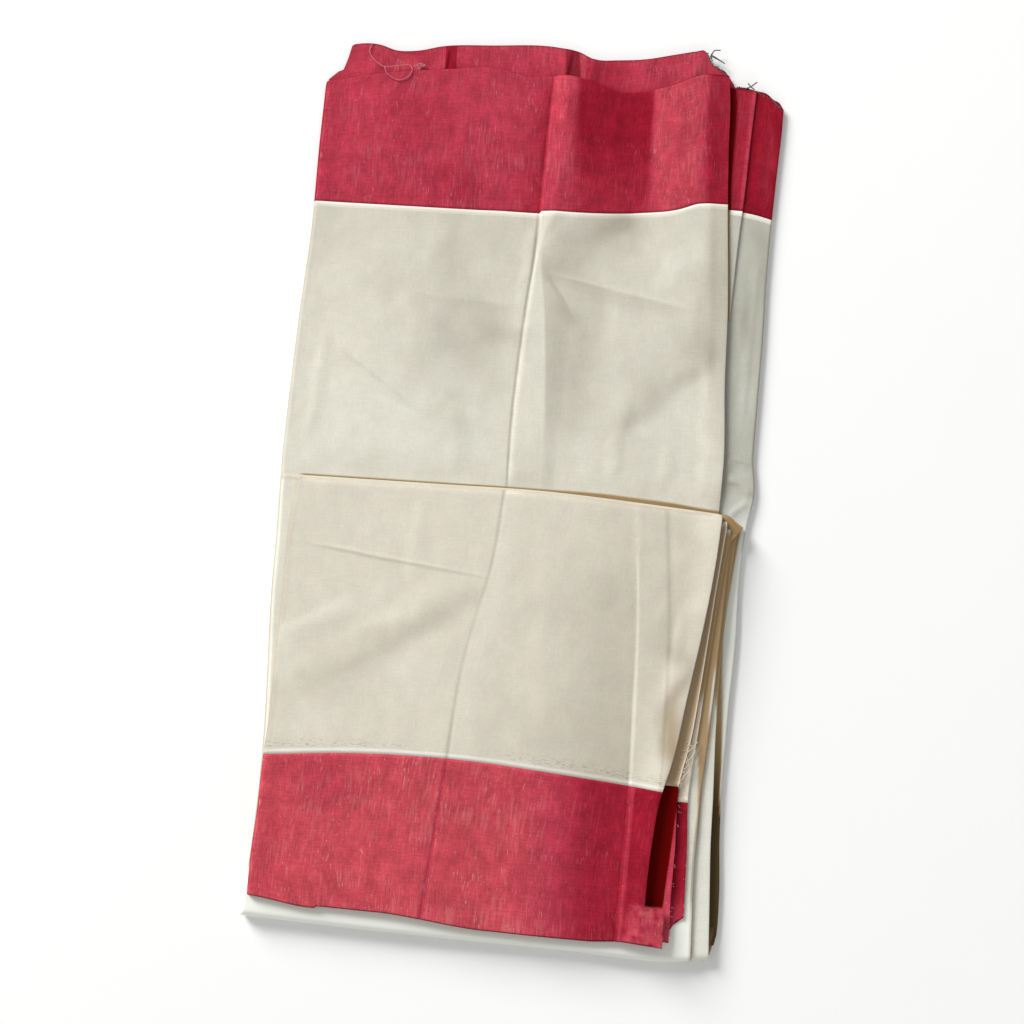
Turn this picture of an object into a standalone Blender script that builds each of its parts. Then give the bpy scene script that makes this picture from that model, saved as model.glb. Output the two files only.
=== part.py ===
"""A cotton saree folded flat: cream cloth with a red border along each long edge.

The cloth is laid in panels one on another, which makes a strip one panel wide and as long as the
cloth is broad. The strip's lower half is turned up over the rest, and the end of that half is
turned down again as a flap, so that a red border lies at each end of the packet.
The packet rests on its back. X runs across it, Y along it towards the open red edges, Z up.
Sizes are in millimetres, and become metres when a mesh is made.
"""

import math

import bmesh
import bpy
import numpy as np

MM = 0.001

# The tables measure x and y from this point, which is moved to the middle of the packet.
MIDDLE_X = 1.5
MIDDLE_Y = 24.48

# Heights of the layers, from the surface that the packet rests on
WALL = 1.1
GAP = 0.3
SEAM = GAP / 2.0
LOWER_TOP = 2.0
SIDE_TOP = LOWER_TOP + GAP + WALL
STRIP_TOP = SIDE_TOP + GAP + WALL
REAR_TOP = SIDE_TOP + 0.2
CORE_TOP = 4.0
FRONT_TOP = CORE_TOP + GAP + WALL
TURNED_CORE_LOW = FRONT_TOP + GAP
TURNED_CORE_TOP = 8.9
TURNED_TOP = TURNED_CORE_TOP + GAP + WALL
TURNED_LEAF_TOP = TURNED_CORE_TOP - GAP - 0.6
LEAF3_TOP = TURNED_TOP + GAP + WALL
LEAF2_TOP = LEAF3_TOP + GAP + WALL
FLAP_TOP = LEAF2_TOP + GAP + WALL

# Folded edges and the bend at the bottom
ROLL = 3.0
ROLL_STEPS = 4
BEND = 5.0
BEND_STEPS = 5
LIP = 9.7
CLEAR = 0.4
INSIDE = WALL + CLEAR
# A rolled edge ends this far above what it rests on, because its inner corner hangs lower.
ROLL_GAP = 0.75
# What lies inside a rolled edge is cut back this much more at its top.
ROLL_INNER = 1.2

# Hidden layers show at their edges as bundles of plies with a groove between them.
GROOVE = 0.8
BUNDLE_SHOULDER = 0.25
ALL_EDGES = (1, 1, 1, 1)

# Rounds in which a point's x and y are fitted to edges that each depend on the other
EDGE_ROUNDS = 4

# The base layers end here, above the lip of the sheet that goes round the bottom fold.
BASE_LOW = -273.8

# How far the loose leaves and the rear band reach in under what covers them
LEAF_REACH = 46.0
LEAF_CLEAR = 2.4
STRIP_REACH = 10.0
LEAF_TUCK = 9.0
TUCK_RUN = 6.0
REAR_REACH = 66.0

# The rear band's top left corner is cut off here, and the front sheet covers its edge below.
REAR_CORNER_Y = 287.0
REAR_CORNER_RUN = 12.0

# The wide leaf's inner edge steps aside here to pass the rear band.
STEP_ASIDE = 12.0
STEP_ASIDE_Y = 226.0
STEP_ASIDE_RUN = 10.0

# The upper bundle of plies is set in from the lower one by this much on the left and right.
STAGGER_LEFT = 0.6
STAGGER_RIGHT = 1.2
STAGGER_END = 2.0

CREAM = (0.70, 0.66, 0.56, 1.0)
RED = (0.51, 0.048, 0.084, 1.0)
CLOTH_ROUGHNESS = 0.9


def table(columns, *rows):
    """A table of numbers, each column held under its name."""
    return dict(zip(columns.split(), np.array(rows, float).T))


# Outline of the whole packet, from the bottom fold to the open edges
PACKET = table(
    "y left right",
    (-284, -155, 158.5),
    (-267, -153, 162.5),
    (-240, -151.5, 162),
    (-201, -151, 159),
    (-164, -151.5, 158),
    (-119, -154, 158),
    (-71, -157, 159),
    (-28, -158, 158),
    (8, -159.5, 160),
    (28, -160, 163),
    (53, -160, 160),
    (131, -159, 160),
    (178, -157.5, 159),
    (252, -158.5, 160),
    (284, -158.5, 161),
    (299, -157, 161),
)

# The bottom fold, across the packet
BOTTOM_FOLD = table("x y", (-155, -284), (-104, -285), (-19, -286), (60, -286), (129, -287), (158, -283.5))

# The rear red band's wavy open edge, and on past it the edges of the leaves on the right
REAR_EDGE = table(
    "x y",
    (-157, 287),
    (-151, 294),
    (-146, 302),
    (-143, 315),
    (-124, 318),
    (-112, 315),
    (-98, 316),
    (-80, 321),
    (-45, 325),
    (0, 328),
    (16, 326),
    (26, 322),
    (44, 323),
    (62, 325.5),
    (83, 331),
    (102, 335),
    (110, 326),
    (118, 322),
    (125, 313),
)
SIDE_EDGE = table("x y", (100, 312), (133, 312), (141, 310), (153, 305), (161, 298.5))

# Upper front sheet: sides, open edge, and the line where cream meets red
FRONT = table(
    "y right",
    (-276, 145),
    (-100, 144),
    (13, 140),
    (48, 140),
    (105, 136),
    (151, 134),
    (222, 128),
    (265, 125),
    (301, 123),
    (318, 121),
)
FRONT_EDGE = table(
    "x y",
    (-157, 285),
    (-118, 296),
    (-76, 304),
    (-39, 308),
    (-20, 304.5),
    (9, 307),
    (30, 304),
    (44, 300),
    (60, 301),
    (81, 307),
    (104, 317),
    (121, 318),
)
FRONT_LINE = table("x y", (-157, 202), (-98, 204), (-1, 209), (67, 215), (95, 220), (107, 225), (140, 227))

# Narrow leaf and wide leaf to the right of the front sheet
STRIP = table("y right", (147, 136), (192, 137), (240, 139), (280, 140), (310, 141))
STRIP_LINE_Y = 223.5
SIDE_LINE = table("x y", (110, 224), (148, 222), (162, 219))

# Turned-up half: its top sheet, and the leaf that shows past it on the right
TURNED = table(
    "y right",
    (-287, 146),
    (-269, 145),
    (-218, 143),
    (-180, 143),
    (-138, 145),
    (-76, 147),
    (10, 149),
)
TURNED_LEAF = table(
    "y right",
    (-284, 158),
    (-239, 155),
    (-209, 153),
    (-179, 152),
    (-134, 150),
    (-79, 149.5),
    (-34, 151),
    (3, 153),
)
TURNED_LEFT_IN = 1.5
TURNED_LEAF_HIGH = 3.0

# Flap: sides, selvedge, top fold, and the line where cream meets red
FLAP = table(
    "y left right",
    (-277, -149, 125),
    (-250, -150, 124),
    (-246, -150, 112),
    (-211, -149, 113),
    (-181, -149, 116),
    (-155, -148, 122),
    (-112, -148, 128),
    (-70, -148, 134),
    (-24, -149, 139),
    (10, -146, 141),
)
FLAP_EDGE = table(
    "x y",
    (-149, -269),
    (-108, -272),
    (-58, -272),
    (5, -277),
    (78, -277),
    (107, -275),
    (125, -277),
)
FLAP_LINE = table("x y", (-149, -177), (-95, -171), (-26, -168), (48, -171), (93, -174), (120, -176))
FLAP_FOLD = table("x y", (-146, 10), (-50, 13), (19, 15), (93, 13), (141, 11))

# Two loose leaves below the flap's right edge
LEAF2 = table(
    "y right",
    (-273, 130),
    (-245, 129),
    (-213, 129),
    (-171, 128),
    (-142, 133),
    (-100, 137),
    (-46, 141),
    (3, 145),
)
LEAF2_HIGH = 3.0
LEAF3 = table(
    "y right",
    (-262, 139),
    (-238, 138),
    (-212, 137),
    (-180, 135),
    (-133, 138),
    (-73, 142),
    (-46, 144),
    (0, 148),
)
LEAF3_EDGE = table("x y", (100, -270), (128, -270), (132, -262), (139, -256))
LEAF3_HIGH = 0.0
LEAF_INNER_X = 100.0

# Soft ridges: from one end to the other, half as wide as the width given
FRONT_RIDGES = table(
    "x_low y_low x_high y_high width height",
    (18, 14, -1, 215, 22, 1.3),
    (-5, 14, 3, 170, 14, 0.7),
    (0, 209, 0, 307, 14, 1.3),
    (31, 214, 26, 300, 16, 0.9),
    (114, 165, 104, 314, 16, 1.2),
)
FLAP_RIDGES = table(
    "x_low y_low x_high y_high width height",
    (-31, -274, -7, 6, 40, 0.8),
    (-133, -35, -24, -46, 16, 0.4),
)
# The flap's flat pressed pleat, between two creases
PLEAT = table("y left right", (-277, 94, 114), (-176, 96, 116), (-75, 91, 113), (10, 83, 103))
PLEAT_HEIGHT = 0.7
PLEAT_EDGE = 2.0
RIDGE_FADE = 24.0
# Below here the front sheet is level, because the turned-up half lies on it.
FRONT_LEVEL_Y = 19.0

# How far the right edges stand up, and over what width they do
FLAP_LIFT = 3.4
LEAF2_LIFT = 1.8
LEAF3_LIFT = 0.5
LIFT_WIDTH = 30.0
FRONT_RISE = STRIP_TOP + GAP + WALL - FRONT_TOP
FRONT_LIFT = 0.7


def smooth_step(value):
    value = np.clip(value, 0.0, 1.0)
    return value * value * (3.0 - 2.0 * value)


def curve(rows, along, across):
    """A smooth function through a table's points, level past its ends."""
    knots, values = rows[along], rows[across]
    slopes = np.gradient(values, knots)

    def at(where):
        where = np.clip(where, knots[0], knots[-1])
        i = np.clip(np.searchsorted(knots, where) - 1, 0, len(knots) - 2)
        span = knots[i + 1] - knots[i]
        t = (where - knots[i]) / span
        rise = values[i + 1] - values[i]
        # The slopes are held back so that the curve doesn't swing past its points.
        limit = 3.0 * np.abs(rise) / span
        start = np.clip(slopes[i], -limit, limit)
        end = np.clip(slopes[i + 1], -limit, limit)
        ease = t * t * (3.0 - 2.0 * t)
        bend = span * (start * t * (1.0 - t) ** 2 - end * t * t * (1.0 - t))
        return values[i] + rise * ease + bend

    return at


packet_left = curve(PACKET, "y", "left")
packet_right = curve(PACKET, "y", "right")
bottom_fold = curve(BOTTOM_FOLD, "x", "y")
rear_edge = curve(REAR_EDGE, "x", "y")
side_edge = curve(SIDE_EDGE, "x", "y")
front_right = curve(FRONT, "y", "right")
front_edge = curve(FRONT_EDGE, "x", "y")
front_line = curve(FRONT_LINE, "x", "y")
strip_right = curve(STRIP, "y", "right")
side_line = curve(SIDE_LINE, "x", "y")
turned_right = curve(TURNED, "y", "right")
turned_leaf_right = curve(TURNED_LEAF, "y", "right")
flap_left = curve(FLAP, "y", "left")
flap_right = curve(FLAP, "y", "right")
flap_edge = curve(FLAP_EDGE, "x", "y")
flap_line = curve(FLAP_LINE, "x", "y")
flap_fold = curve(FLAP_FOLD, "x", "y")
leaf2_right = curve(LEAF2, "y", "right")
leaf3_right = curve(LEAF3, "y", "right")
leaf3_edge = curve(LEAF3_EDGE, "x", "y")
pleat_left = curve(PLEAT, "y", "left")
pleat_right = curve(PLEAT, "y", "right")


def moved(function, by):
    """The same edge, moved along the axis that it gives."""
    return lambda where: function(where) + by


def level(value):
    return lambda where: np.full_like(np.asarray(where, float), value)


def whole_edge(x):
    """The lowest layers' open edge: the rear band, then the leaves on the right."""
    return np.where(x < REAR_EDGE["x"][-1], rear_edge(x), side_edge(x))


def ridges(rows, x, y):
    """The height that the sheet's soft ridges add."""
    total = np.zeros_like(x)
    for i in range(len(rows["width"])):
        start = np.array((rows["x_low"][i], rows["y_low"][i]))
        along = np.array((rows["x_high"][i], rows["y_high"][i])) - start
        length = math.hypot(*along)
        along /= length
        run = (x - start[0]) * along[0] + (y - start[1]) * along[1]
        aside = np.abs((x - start[0]) * along[1] - (y - start[1]) * along[0])
        crest = 1.0 - smooth_step(aside / (rows["width"][i] / 2.0))
        ends = smooth_step(run / RIDGE_FADE + 0.3) * smooth_step((length - run) / RIDGE_FADE + 0.3)
        total = np.maximum(total, rows["height"][i] * crest * ends)
    return total


def front_height(x, y):
    """Top of the upper front sheet, level where the turned-up half lies on it."""
    shown = smooth_step((y - FRONT_LEVEL_Y) / RIDGE_FADE)
    edge = front_right(y)
    rise = FRONT_RISE * smooth_step((x - edge + 2.0 * STRIP_REACH) / STRIP_REACH)
    lift = FRONT_LIFT * smooth_step((x - edge + STRIP_REACH) / STRIP_REACH)
    return FRONT_TOP + shown * (ridges(FRONT_RIDGES, x, y) + rise + lift)


def flap_height(x, y):
    """Top of the flap, with its ridge, its pressed pleat and its lifted right edge."""
    lift = FLAP_LIFT * smooth_step((x - flap_right(y)) / LIFT_WIDTH + 1.0) ** 2
    inside = smooth_step((x - pleat_left(y)) / PLEAT_EDGE + 0.5)
    inside *= smooth_step((pleat_right(y) - x) / PLEAT_EDGE + 0.5)
    return FLAP_TOP + ridges(FLAP_RIDGES, x, y) + lift + PLEAT_HEIGHT * inside


def leaf_height(top, right, lift):
    """Top of a loose leaf whose right edge stands up a little."""
    return lambda x, y: top + lift * smooth_step((x - right(y)) / LIFT_WIDTH + 1.0) ** 2


def flat_height(top):
    return lambda x, y: np.full_like(x, top)


def stations(count, start_drop=0.0, end_drop=0.0, marks=()):
    """Places along one direction of a sheet: fraction of the way, extra millimetres, and drop below the top.

    A drop at the start or the end rolls that edge down round a fold.
    """
    start_roll = ROLL if start_drop else 0.0
    end_roll = ROLL if end_drop else 0.0
    angles = [math.pi / 2.0 * step / ROLL_STEPS for step in range(ROLL_STEPS)]
    places = []
    if start_drop:
        places += [(0.0, ROLL * (1.0 - math.cos(a)), start_drop * (1.0 - math.sin(a))) for a in angles]
    fractions = sorted({round(step / count, 6) for step in range(count + 1)} | set(marks))
    places += [(f, start_roll * (1.0 - f) - end_roll * f, 0.0) for f in fractions]
    if end_drop:
        for a in reversed(angles):
            places.append((1.0, -ROLL * (1.0 - math.cos(a)), end_drop * (1.0 - math.sin(a))))
    return np.array(places).T


def bend_stations(count, drop):
    """Places along a sheet that starts under the packet, goes round the bottom fold and on over the top."""
    places = [(0.0, LIP, drop)]
    for step in range(2 * BEND_STEPS + 1):
        angle = math.pi / 2.0 * (step / BEND_STEPS - 1.0)
        places.append((0.0, BEND * (1.0 - math.cos(angle)), drop * (1.0 - math.sin(angle)) / 2.0))
    places += [(step / count, BEND * (1.0 - step / count), 0.0) for step in range(1, count + 1)]
    return np.array(places).T


def material(name, colour):
    made = bpy.data.materials.new(name)
    made.use_nodes = True
    shader = made.node_tree.nodes["Principled BSDF"]
    shader.inputs["Base Color"].default_value = colour
    shader.inputs["Roughness"].default_value = CLOTH_ROUGHNESS
    shader.inputs["Metallic"].default_value = 0.0
    return made


def add_object(name, mesh, colour):
    mesh.materials.append(material(name, colour))
    mesh.shade_smooth()
    made = bpy.data.objects.new(name, mesh)
    bpy.context.scene.collection.objects.link(made)
    return made


def place(x, y, z):
    return ((x - MIDDLE_X) * MM, (y - MIDDLE_Y) * MM, z * MM)


def sheet(name, colour, sides, ends, across, along, height):
    """One stretch of cloth: a wall whose top follows height and whose edges are the four curves given.

    sides are its left and right edges as functions of y, ends its low and high edges as functions of x.
    """
    left, right = sides
    low, high = ends
    fraction_x, extra_x, drop_x = across
    fraction_y, extra_y, drop_y = along
    full_drop = max(drop_y.max(), GAP)
    bm = bmesh.new()
    grid = []
    for fy, ey, dy in zip(fraction_y, extra_y, drop_y):
        x = left(0.0) + fraction_x * (right(0.0) - left(0.0))
        for _ in range(EDGE_ROUNDS):
            y = low(x) + ey + fy * (high(x) - low(x))
            x = left(y) + extra_x + fraction_x * (right(y) - left(y))
        drop = dy + drop_x * (1.0 - dy / full_drop) ** 2
        z = height(x, y) - drop
        grid.append([bm.verts.new(place(*point)) for point in zip(x, y, z)])
    for row, row_above in zip(grid, grid[1:]):
        for i in range(len(row) - 1):
            bm.faces.new((row[i], row[i + 1], row_above[i + 1], row_above[i]))
    mesh = bpy.data.meshes.new(name)
    bm.to_mesh(mesh)
    bm.free()
    made = add_object(name, mesh, colour)
    wall = made.modifiers.new("Wall", "SOLIDIFY")
    wall.thickness = WALL * MM
    wall.offset = -1.0
    wall.use_even_offset = True
    return made


def inset(edges, amounts):
    """A plan's left, right, low and high edges, each moved inwards by its own amount."""
    left, right, low, high = edges
    in_left, in_right, in_low, in_high = amounts
    return moved(left, in_left), moved(right, -in_right), moved(low, in_low), moved(high, -in_high)


def bundles(low, high, plans, grooved=ALL_EDGES):
    """Rings round a pile of plies, one bundle for each plan, with a groove above and below each.

    grooved says which of the left, right, low and high edges show grooves.
    """
    rings = []
    thickness = (high - low) / len(plans)
    groove = [GROOVE * shown for shown in grooved]
    for index, plan in enumerate(plans):
        floor = low + index * thickness
        rings.append((floor, inset(plan, groove)))
        rings.append((floor + BUNDLE_SHOULDER * thickness, plan))
        rings.append((floor + (1.0 - BUNDLE_SHOULDER) * thickness, plan))
    rings.append((high, inset(plans[-1], groove)))
    return rings


def pile(name, colour, rings, counts):
    """Hidden layers as one solid: rings round it at each height, closed by flat faces below and above."""
    count_x, count_y = counts
    across = np.linspace(0.0, 1.0, count_x + 1)
    along = np.linspace(0.0, 1.0, count_y + 1)[1:-1]
    bm = bmesh.new()
    loops = []
    for z, (left, right, low, high) in rings:
        x_low = x_high = left(0.0) + across * (right(0.0) - left(0.0))
        for _ in range(EDGE_ROUNDS):
            y_low, y_high = low(x_low), high(x_high)
            x_low = left(y_low) + across * (right(y_low) - left(y_low))
            x_high = left(y_high) + across * (right(y_high) - left(y_high))
        right_y = y_low[-1] + along * (y_high[-1] - y_low[-1])
        left_y = y_low[0] + along * (y_high[0] - y_low[0])
        outline = list(zip(x_low, y_low)) + list(zip(right(right_y), right_y))
        outline += list(zip(x_high, y_high))[::-1] + list(zip(left(left_y), left_y))[::-1]
        loops.append([bm.verts.new(place(x, y, z)) for x, y in outline])
    bm.faces.new(loops[0][::-1])
    bm.faces.new(loops[-1])
    for lower, upper in zip(loops, loops[1:]):
        for i in range(len(lower)):
            j = (i + 1) % len(lower)
            bm.faces.new((lower[i], lower[j], upper[j], upper[i]))
    mesh = bpy.data.meshes.new(name)
    bm.to_mesh(mesh)
    bm.free()
    return add_object(name, mesh, colour)


def base_layers():
    """The hidden layers of the strip's upper part: full at the bottom, cut back under the loose leaves."""
    line = float(front_line(0.0))
    leaves = moved(packet_right, -LEAF_REACH - LEAF_CLEAR)
    below = (packet_left, packet_right, level(BASE_LOW), level(line - SEAM))
    above = (packet_left, leaves, level(BASE_LOW), level(line - SEAM))
    second = inset(below, (STAGGER_LEFT, STAGGER_RIGHT, 0, 0))
    rings = bundles(0.0, LOWER_TOP, [below, second], (1, 1, 0, 0))
    rings += upper_rings(above)
    pile("base_layers_field", CREAM, rings, (2, 16))
    below = (packet_left, packet_right, level(line + SEAM), whole_edge)
    above = (packet_left, leaves, level(line + SEAM), moved(rear_edge, -REAR_REACH - LEAF_CLEAR))
    second = inset(below, (STAGGER_LEFT, STAGGER_RIGHT, 0, STAGGER_END))
    rings = bundles(0.0, LOWER_TOP, [below, second], (1, 1, 0, 1))
    rings += upper_rings(above)
    pile("base_layers_border", RED, rings, (26, 5))


def upper_rings(plan):
    """The base's upper layers, rounded on the left inside the front sheet's rolled edge."""
    return [
        (LOWER_TOP + 0.05, inset(plan, (INSIDE, 0, 0, 0))),
        (LOWER_TOP + 0.4 * (CORE_TOP - LOWER_TOP), inset(plan, (INSIDE, 0, 0, 0))),
        (CORE_TOP, inset(plan, (INSIDE + ROLL_INNER, 0, 0, 0))),
    ]


def rear_band():
    """The red edge of a rear layer, which reaches past the front sheet's and waves."""

    def left(y):
        return packet_left(y) + (INSIDE + CLEAR) * (1.0 - smooth_step((y - REAR_CORNER_Y) / REAR_CORNER_RUN))

    ends = (moved(rear_edge, -REAR_REACH), rear_edge)
    sides = (left, level(REAR_EDGE["x"][-1]))
    sheet("rear_border", RED, sides, ends, stations(32), stations(2), flat_height(REAR_TOP))


def side_leaves():
    """The wide leaf and the narrow leaf that show to the right of the front sheet."""
    inner = moved(packet_right, -LEAF_REACH)
    ends = (level(BASE_LOW), moved(side_line, -SEAM))
    sheet("side_field", CREAM, (inner, packet_right), ends, stations(2), stations(20), flat_height(SIDE_TOP))

    def beside_rear_band(y):
        return inner(y) + STEP_ASIDE * smooth_step((y - STEP_ASIDE_Y) / STEP_ASIDE_RUN)

    ends = (moved(side_line, SEAM), side_edge)
    sides = (beside_rear_band, packet_right)
    sheet("side_border", RED, sides, ends, stations(4), stations(5), flat_height(SIDE_TOP))
    sides = (moved(front_right, -STRIP_REACH), strip_right)
    ends = (level(STRIP["y"][0]), level(STRIP_LINE_Y - SEAM))
    sheet("strip_field", CREAM, sides, ends, stations(2), stations(5), flat_height(STRIP_TOP))
    ends = (level(STRIP_LINE_Y + SEAM), level(STRIP["y"][-1]))
    sheet("strip_border", RED, sides, ends, stations(2), stations(5), flat_height(STRIP_TOP))


def front_sheet():
    """The upper front sheet, rolled down round the fold on the left."""
    drop = FRONT_TOP - LOWER_TOP - ROLL_GAP
    sides = (packet_left, front_right)
    across = stations(14, start_drop=drop, marks=(0.46, 0.53, 0.6, 0.96))
    ends = (level(BASE_LOW), moved(front_line, -SEAM))
    along = stations(5, marks=(0.59, 0.62, 0.66, 0.7, 0.75, 0.85, 0.92))
    sheet("front_field", CREAM, sides, ends, across, along, front_height)
    ends = (moved(front_line, SEAM), front_edge)
    sheet("front_border", RED, sides, ends, across, stations(4), front_height)


def turned_half():
    """The half that is turned up: its hidden layers, its top sheet round the bottom fold, and one leaf."""
    left = moved(packet_left, TURNED_LEFT_IN)
    hidden_left = moved(left, INSIDE + LEAF_CLEAR)
    hidden_right = moved(turned_right, -LEAF_TUCK - CLEAR)
    high = moved(flap_fold, -2.0 * INSIDE)
    inner_bend = BEND - WALL
    inner_rise = TURNED_TOP / 2.0 - WALL

    def bend_low(z):
        """The low edge that fits inside the bend at this height."""
        share = (z - TURNED_TOP / 2.0) / inner_rise
        return moved(bottom_fold, BEND + 2.0 * CLEAR - inner_bend * math.sqrt(1.0 - share * share))

    rings = []
    for z in (INSIDE, 3.0, TURNED_CORE_LOW - 0.05):
        rings.append((z, (hidden_left, hidden_right, bend_low(z), level(BASE_LOW - 2.0 * CLEAR))))
    for z, rounded in ((TURNED_CORE_LOW, 0.0), (7.2, 0.0), (TURNED_CORE_TOP, ROLL_INNER)):
        rings.append((z, (moved(hidden_left, rounded), hidden_right, bend_low(z), high)))
    pile("turned_layers", CREAM, rings, (10, 12))

    across = stations(8, start_drop=TURNED_TOP - FRONT_TOP - ROLL_GAP)
    along = bend_stations(5, TURNED_TOP)
    height = flat_height(TURNED_TOP)
    sheet("turned_field", CREAM, (left, turned_right), (bottom_fold, high), across, along, height)

    def leaf_inner(y):
        """Beside the bend at the bottom, and tucked under the top sheet above it."""
        tucked = smooth_step((y - BASE_LOW) / TUCK_RUN)
        return turned_right(y) + CLEAR - LEAF_TUCK * tucked

    sides = (leaf_inner, turned_leaf_right)
    along = bend_stations(12, TURNED_LEAF_TOP)
    height = flat_height(TURNED_LEAF_TOP)
    sheet("turned_leaf", CREAM, sides, (bottom_fold, level(TURNED_LEAF_HIGH)), stations(2), along, height)


def flap():
    """The end that is turned back down: its hidden layers and its top sheet."""
    left, right = moved(flap_left, INSIDE), level(LEAF_INNER_X - CLEAR)
    core_low, core_top = TURNED_TOP + GAP, FLAP_TOP - WALL - GAP
    fold = moved(flap_fold, -INSIDE - 2.0 * CLEAR)
    plan = (left, right, moved(flap_line, SEAM), fold)
    rounded = inset(plan, (ROLL_INNER, 0, 0, ROLL_INNER))
    pile("flap_layers_field", CREAM, bundles(core_low, core_top, [plan, rounded], (1, 0, 0, 1)), (8, 6))
    plan = (left, right, moved(flap_edge, GROOVE), moved(flap_line, -SEAM))
    rounded = inset(plan, (ROLL_INNER, 0, STAGGER_RIGHT, 0))
    pile("flap_layers_border", RED, bundles(core_low, core_top, [plan, rounded], (1, 0, 1, 0)), (12, 4))

    across = stations(14, start_drop=FLAP_TOP - TURNED_TOP - ROLL_GAP, marks=(0.6, 0.88, 0.9, 0.95, 0.97))
    sides = (flap_left, flap_right)
    ends = (moved(flap_line, SEAM), flap_fold)
    along = stations(8, end_drop=FLAP_TOP - FRONT_TOP - ROLL_GAP)
    sheet("flap_field", CREAM, sides, ends, across, along, flap_height)
    ends = (flap_edge, moved(flap_line, -SEAM))
    sheet("flap_border", RED, sides, ends, across, stations(4, marks=(0.24, 0.3)), flap_height)


def loose_leaves():
    """The two leaves that fan out to the right below the flap's top sheet."""
    inner = level(LEAF_INNER_X)
    line = float(flap_line(LEAF_INNER_X))
    field_low, border_high = level(line + SEAM), level(line - SEAM)
    across = stations(3)
    height = leaf_height(LEAF2_TOP, leaf2_right, LEAF2_LIFT)
    sides = (inner, leaf2_right)
    sheet("leaf2_field", CREAM, sides, (field_low, level(LEAF2_HIGH)), across, stations(7), height)
    sheet("leaf2_border", RED, sides, (level(LEAF2["y"][0]), border_high), across, stations(4), height)
    height = leaf_height(LEAF3_TOP, leaf3_right, LEAF3_LIFT)
    sides = (inner, leaf3_right)
    sheet("leaf3_field", CREAM, sides, (field_low, level(LEAF3_HIGH)), across, stations(7), height)
    sheet("leaf3_border", RED, sides, (leaf3_edge, border_high), stations(4), stations(4), height)


def main():
    for old in list(bpy.data.objects):
        bpy.data.objects.remove(old)
    base_layers()
    rear_band()
    side_leaves()
    front_sheet()
    turned_half()
    flap()
    loose_leaves()


main()
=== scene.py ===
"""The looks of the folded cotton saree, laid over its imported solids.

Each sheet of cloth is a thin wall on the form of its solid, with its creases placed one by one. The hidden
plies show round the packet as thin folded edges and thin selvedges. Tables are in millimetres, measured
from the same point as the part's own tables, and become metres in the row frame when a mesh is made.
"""

import math

import bpy
import numpy as np
from mathutils import Matrix, Vector


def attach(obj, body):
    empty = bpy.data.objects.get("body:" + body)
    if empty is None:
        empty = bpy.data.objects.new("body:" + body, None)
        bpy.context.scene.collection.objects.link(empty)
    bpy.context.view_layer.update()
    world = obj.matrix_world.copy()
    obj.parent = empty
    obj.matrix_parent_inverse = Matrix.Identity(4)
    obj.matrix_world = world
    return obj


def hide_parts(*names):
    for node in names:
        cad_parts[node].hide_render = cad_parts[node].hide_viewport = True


MM = 0.001

# The tables measure x and y from this point, which is moved to the middle of the packet.
MIDDLE_X = 1.5
MIDDLE_Y = 24.48

# Heights of the layers, from the surface that the packet rests on, as in the part's source
SIDE_TOP = 3.4
REAR_TOP = 3.6
STRIP_TOP = 4.8
FRONT_TOP = 5.4
TURNED_LEAF_TOP = 8.0
TURNED_TOP = 10.3
LEAF3_TOP = 11.7
LEAF2_TOP = 13.1
FLAP_TOP = 14.5

# Where edges, lines and slopes lie, and where plies end
BASE_LOW = -273.8
BEND = 5.0
LEAF_INNER_X = 100.0
LEAF2_LOW_Y = -273.0
TURNED_LEAF_HIGH = 4.0
TURNED_LEFT_IN = 1.5
REAR_END_X = 125.0
REAR_CORNER_Y = 287.0
REAR_CORNER_RUN = 12.0
STRIP_LOW_Y = 147.0
STRIP_HIGH_Y = 310.0
STRIP_LINE_Y = 223.5
FRONT_SLOPE_Y = 11.0
RIDGE_FADE = 24.0
FLARE_TOP = -250.2
FRONT_ROLL_LOW = 2.7
LEAF_ROLL_DROP = 4.2
LEFT_PLIES_END_Y = 286.0
RIGHT_PLIES_END_Y = 299.0
FRONT_PLIES_END_Y = 12.0
FLAP_PLIES_END_Y = 6.0
TURNED_PLIES_START_Y = -262.0

# How far the right edges stand up, and over what width they do
FLAP_LIFT = 3.4
LIFT_WIDTH = 30.0
FRONT_RISE = 0.8
FRONT_LIFT = 0.7
STRIP_REACH = 10.0

# Thickness of one ply, and the folded edges of a sheet
CLOTH = 0.35
TURN_RADIUS = 0.42
TURN_REACH = 7.0
ROLL = 3.0
LIP = 24.0
LIP_LOW = 0.28
UNDER_LIFT = 0.8
LIP_SLOPE = 6.0
EDGE_ROUNDS = 4
PLY_THICKNESS = 0.7
PLY_REACH = 6.0
PLY_SPACING = 0.75
PLY_LEVELS = (1.2, 1.95)
CUT_HALF = 0.15
BAR_STEP = 6.0
PLAIN_EDGE = ((0.0, 0.0),)

# Colours as linear light. Shade and light are what a colour is multiplied by at a painted shading of -1 and
# 1.
CREAM = (0.66, 0.646, 0.55)
WARM_CREAM = (0.655, 0.614, 0.516)
# A copy of the cream in painted shade, for the leaves that lie in shade
SHADED_CREAM = (0.50, 0.507, 0.435)
CREAM_SHADE = (0.60, 0.575, 0.54)
CREAM_LIGHT = (1.12, 1.145, 1.2)
# Painted deep shade between the plies on the cream, in brown and then darker
SHADE_BROWN = (0.40, 0.262, 0.125)
DEEP_SHADE_BROWN = (0.05, 0.028, 0.008)
WHITE_LINE = (0.80, 0.775, 0.685)
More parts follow.
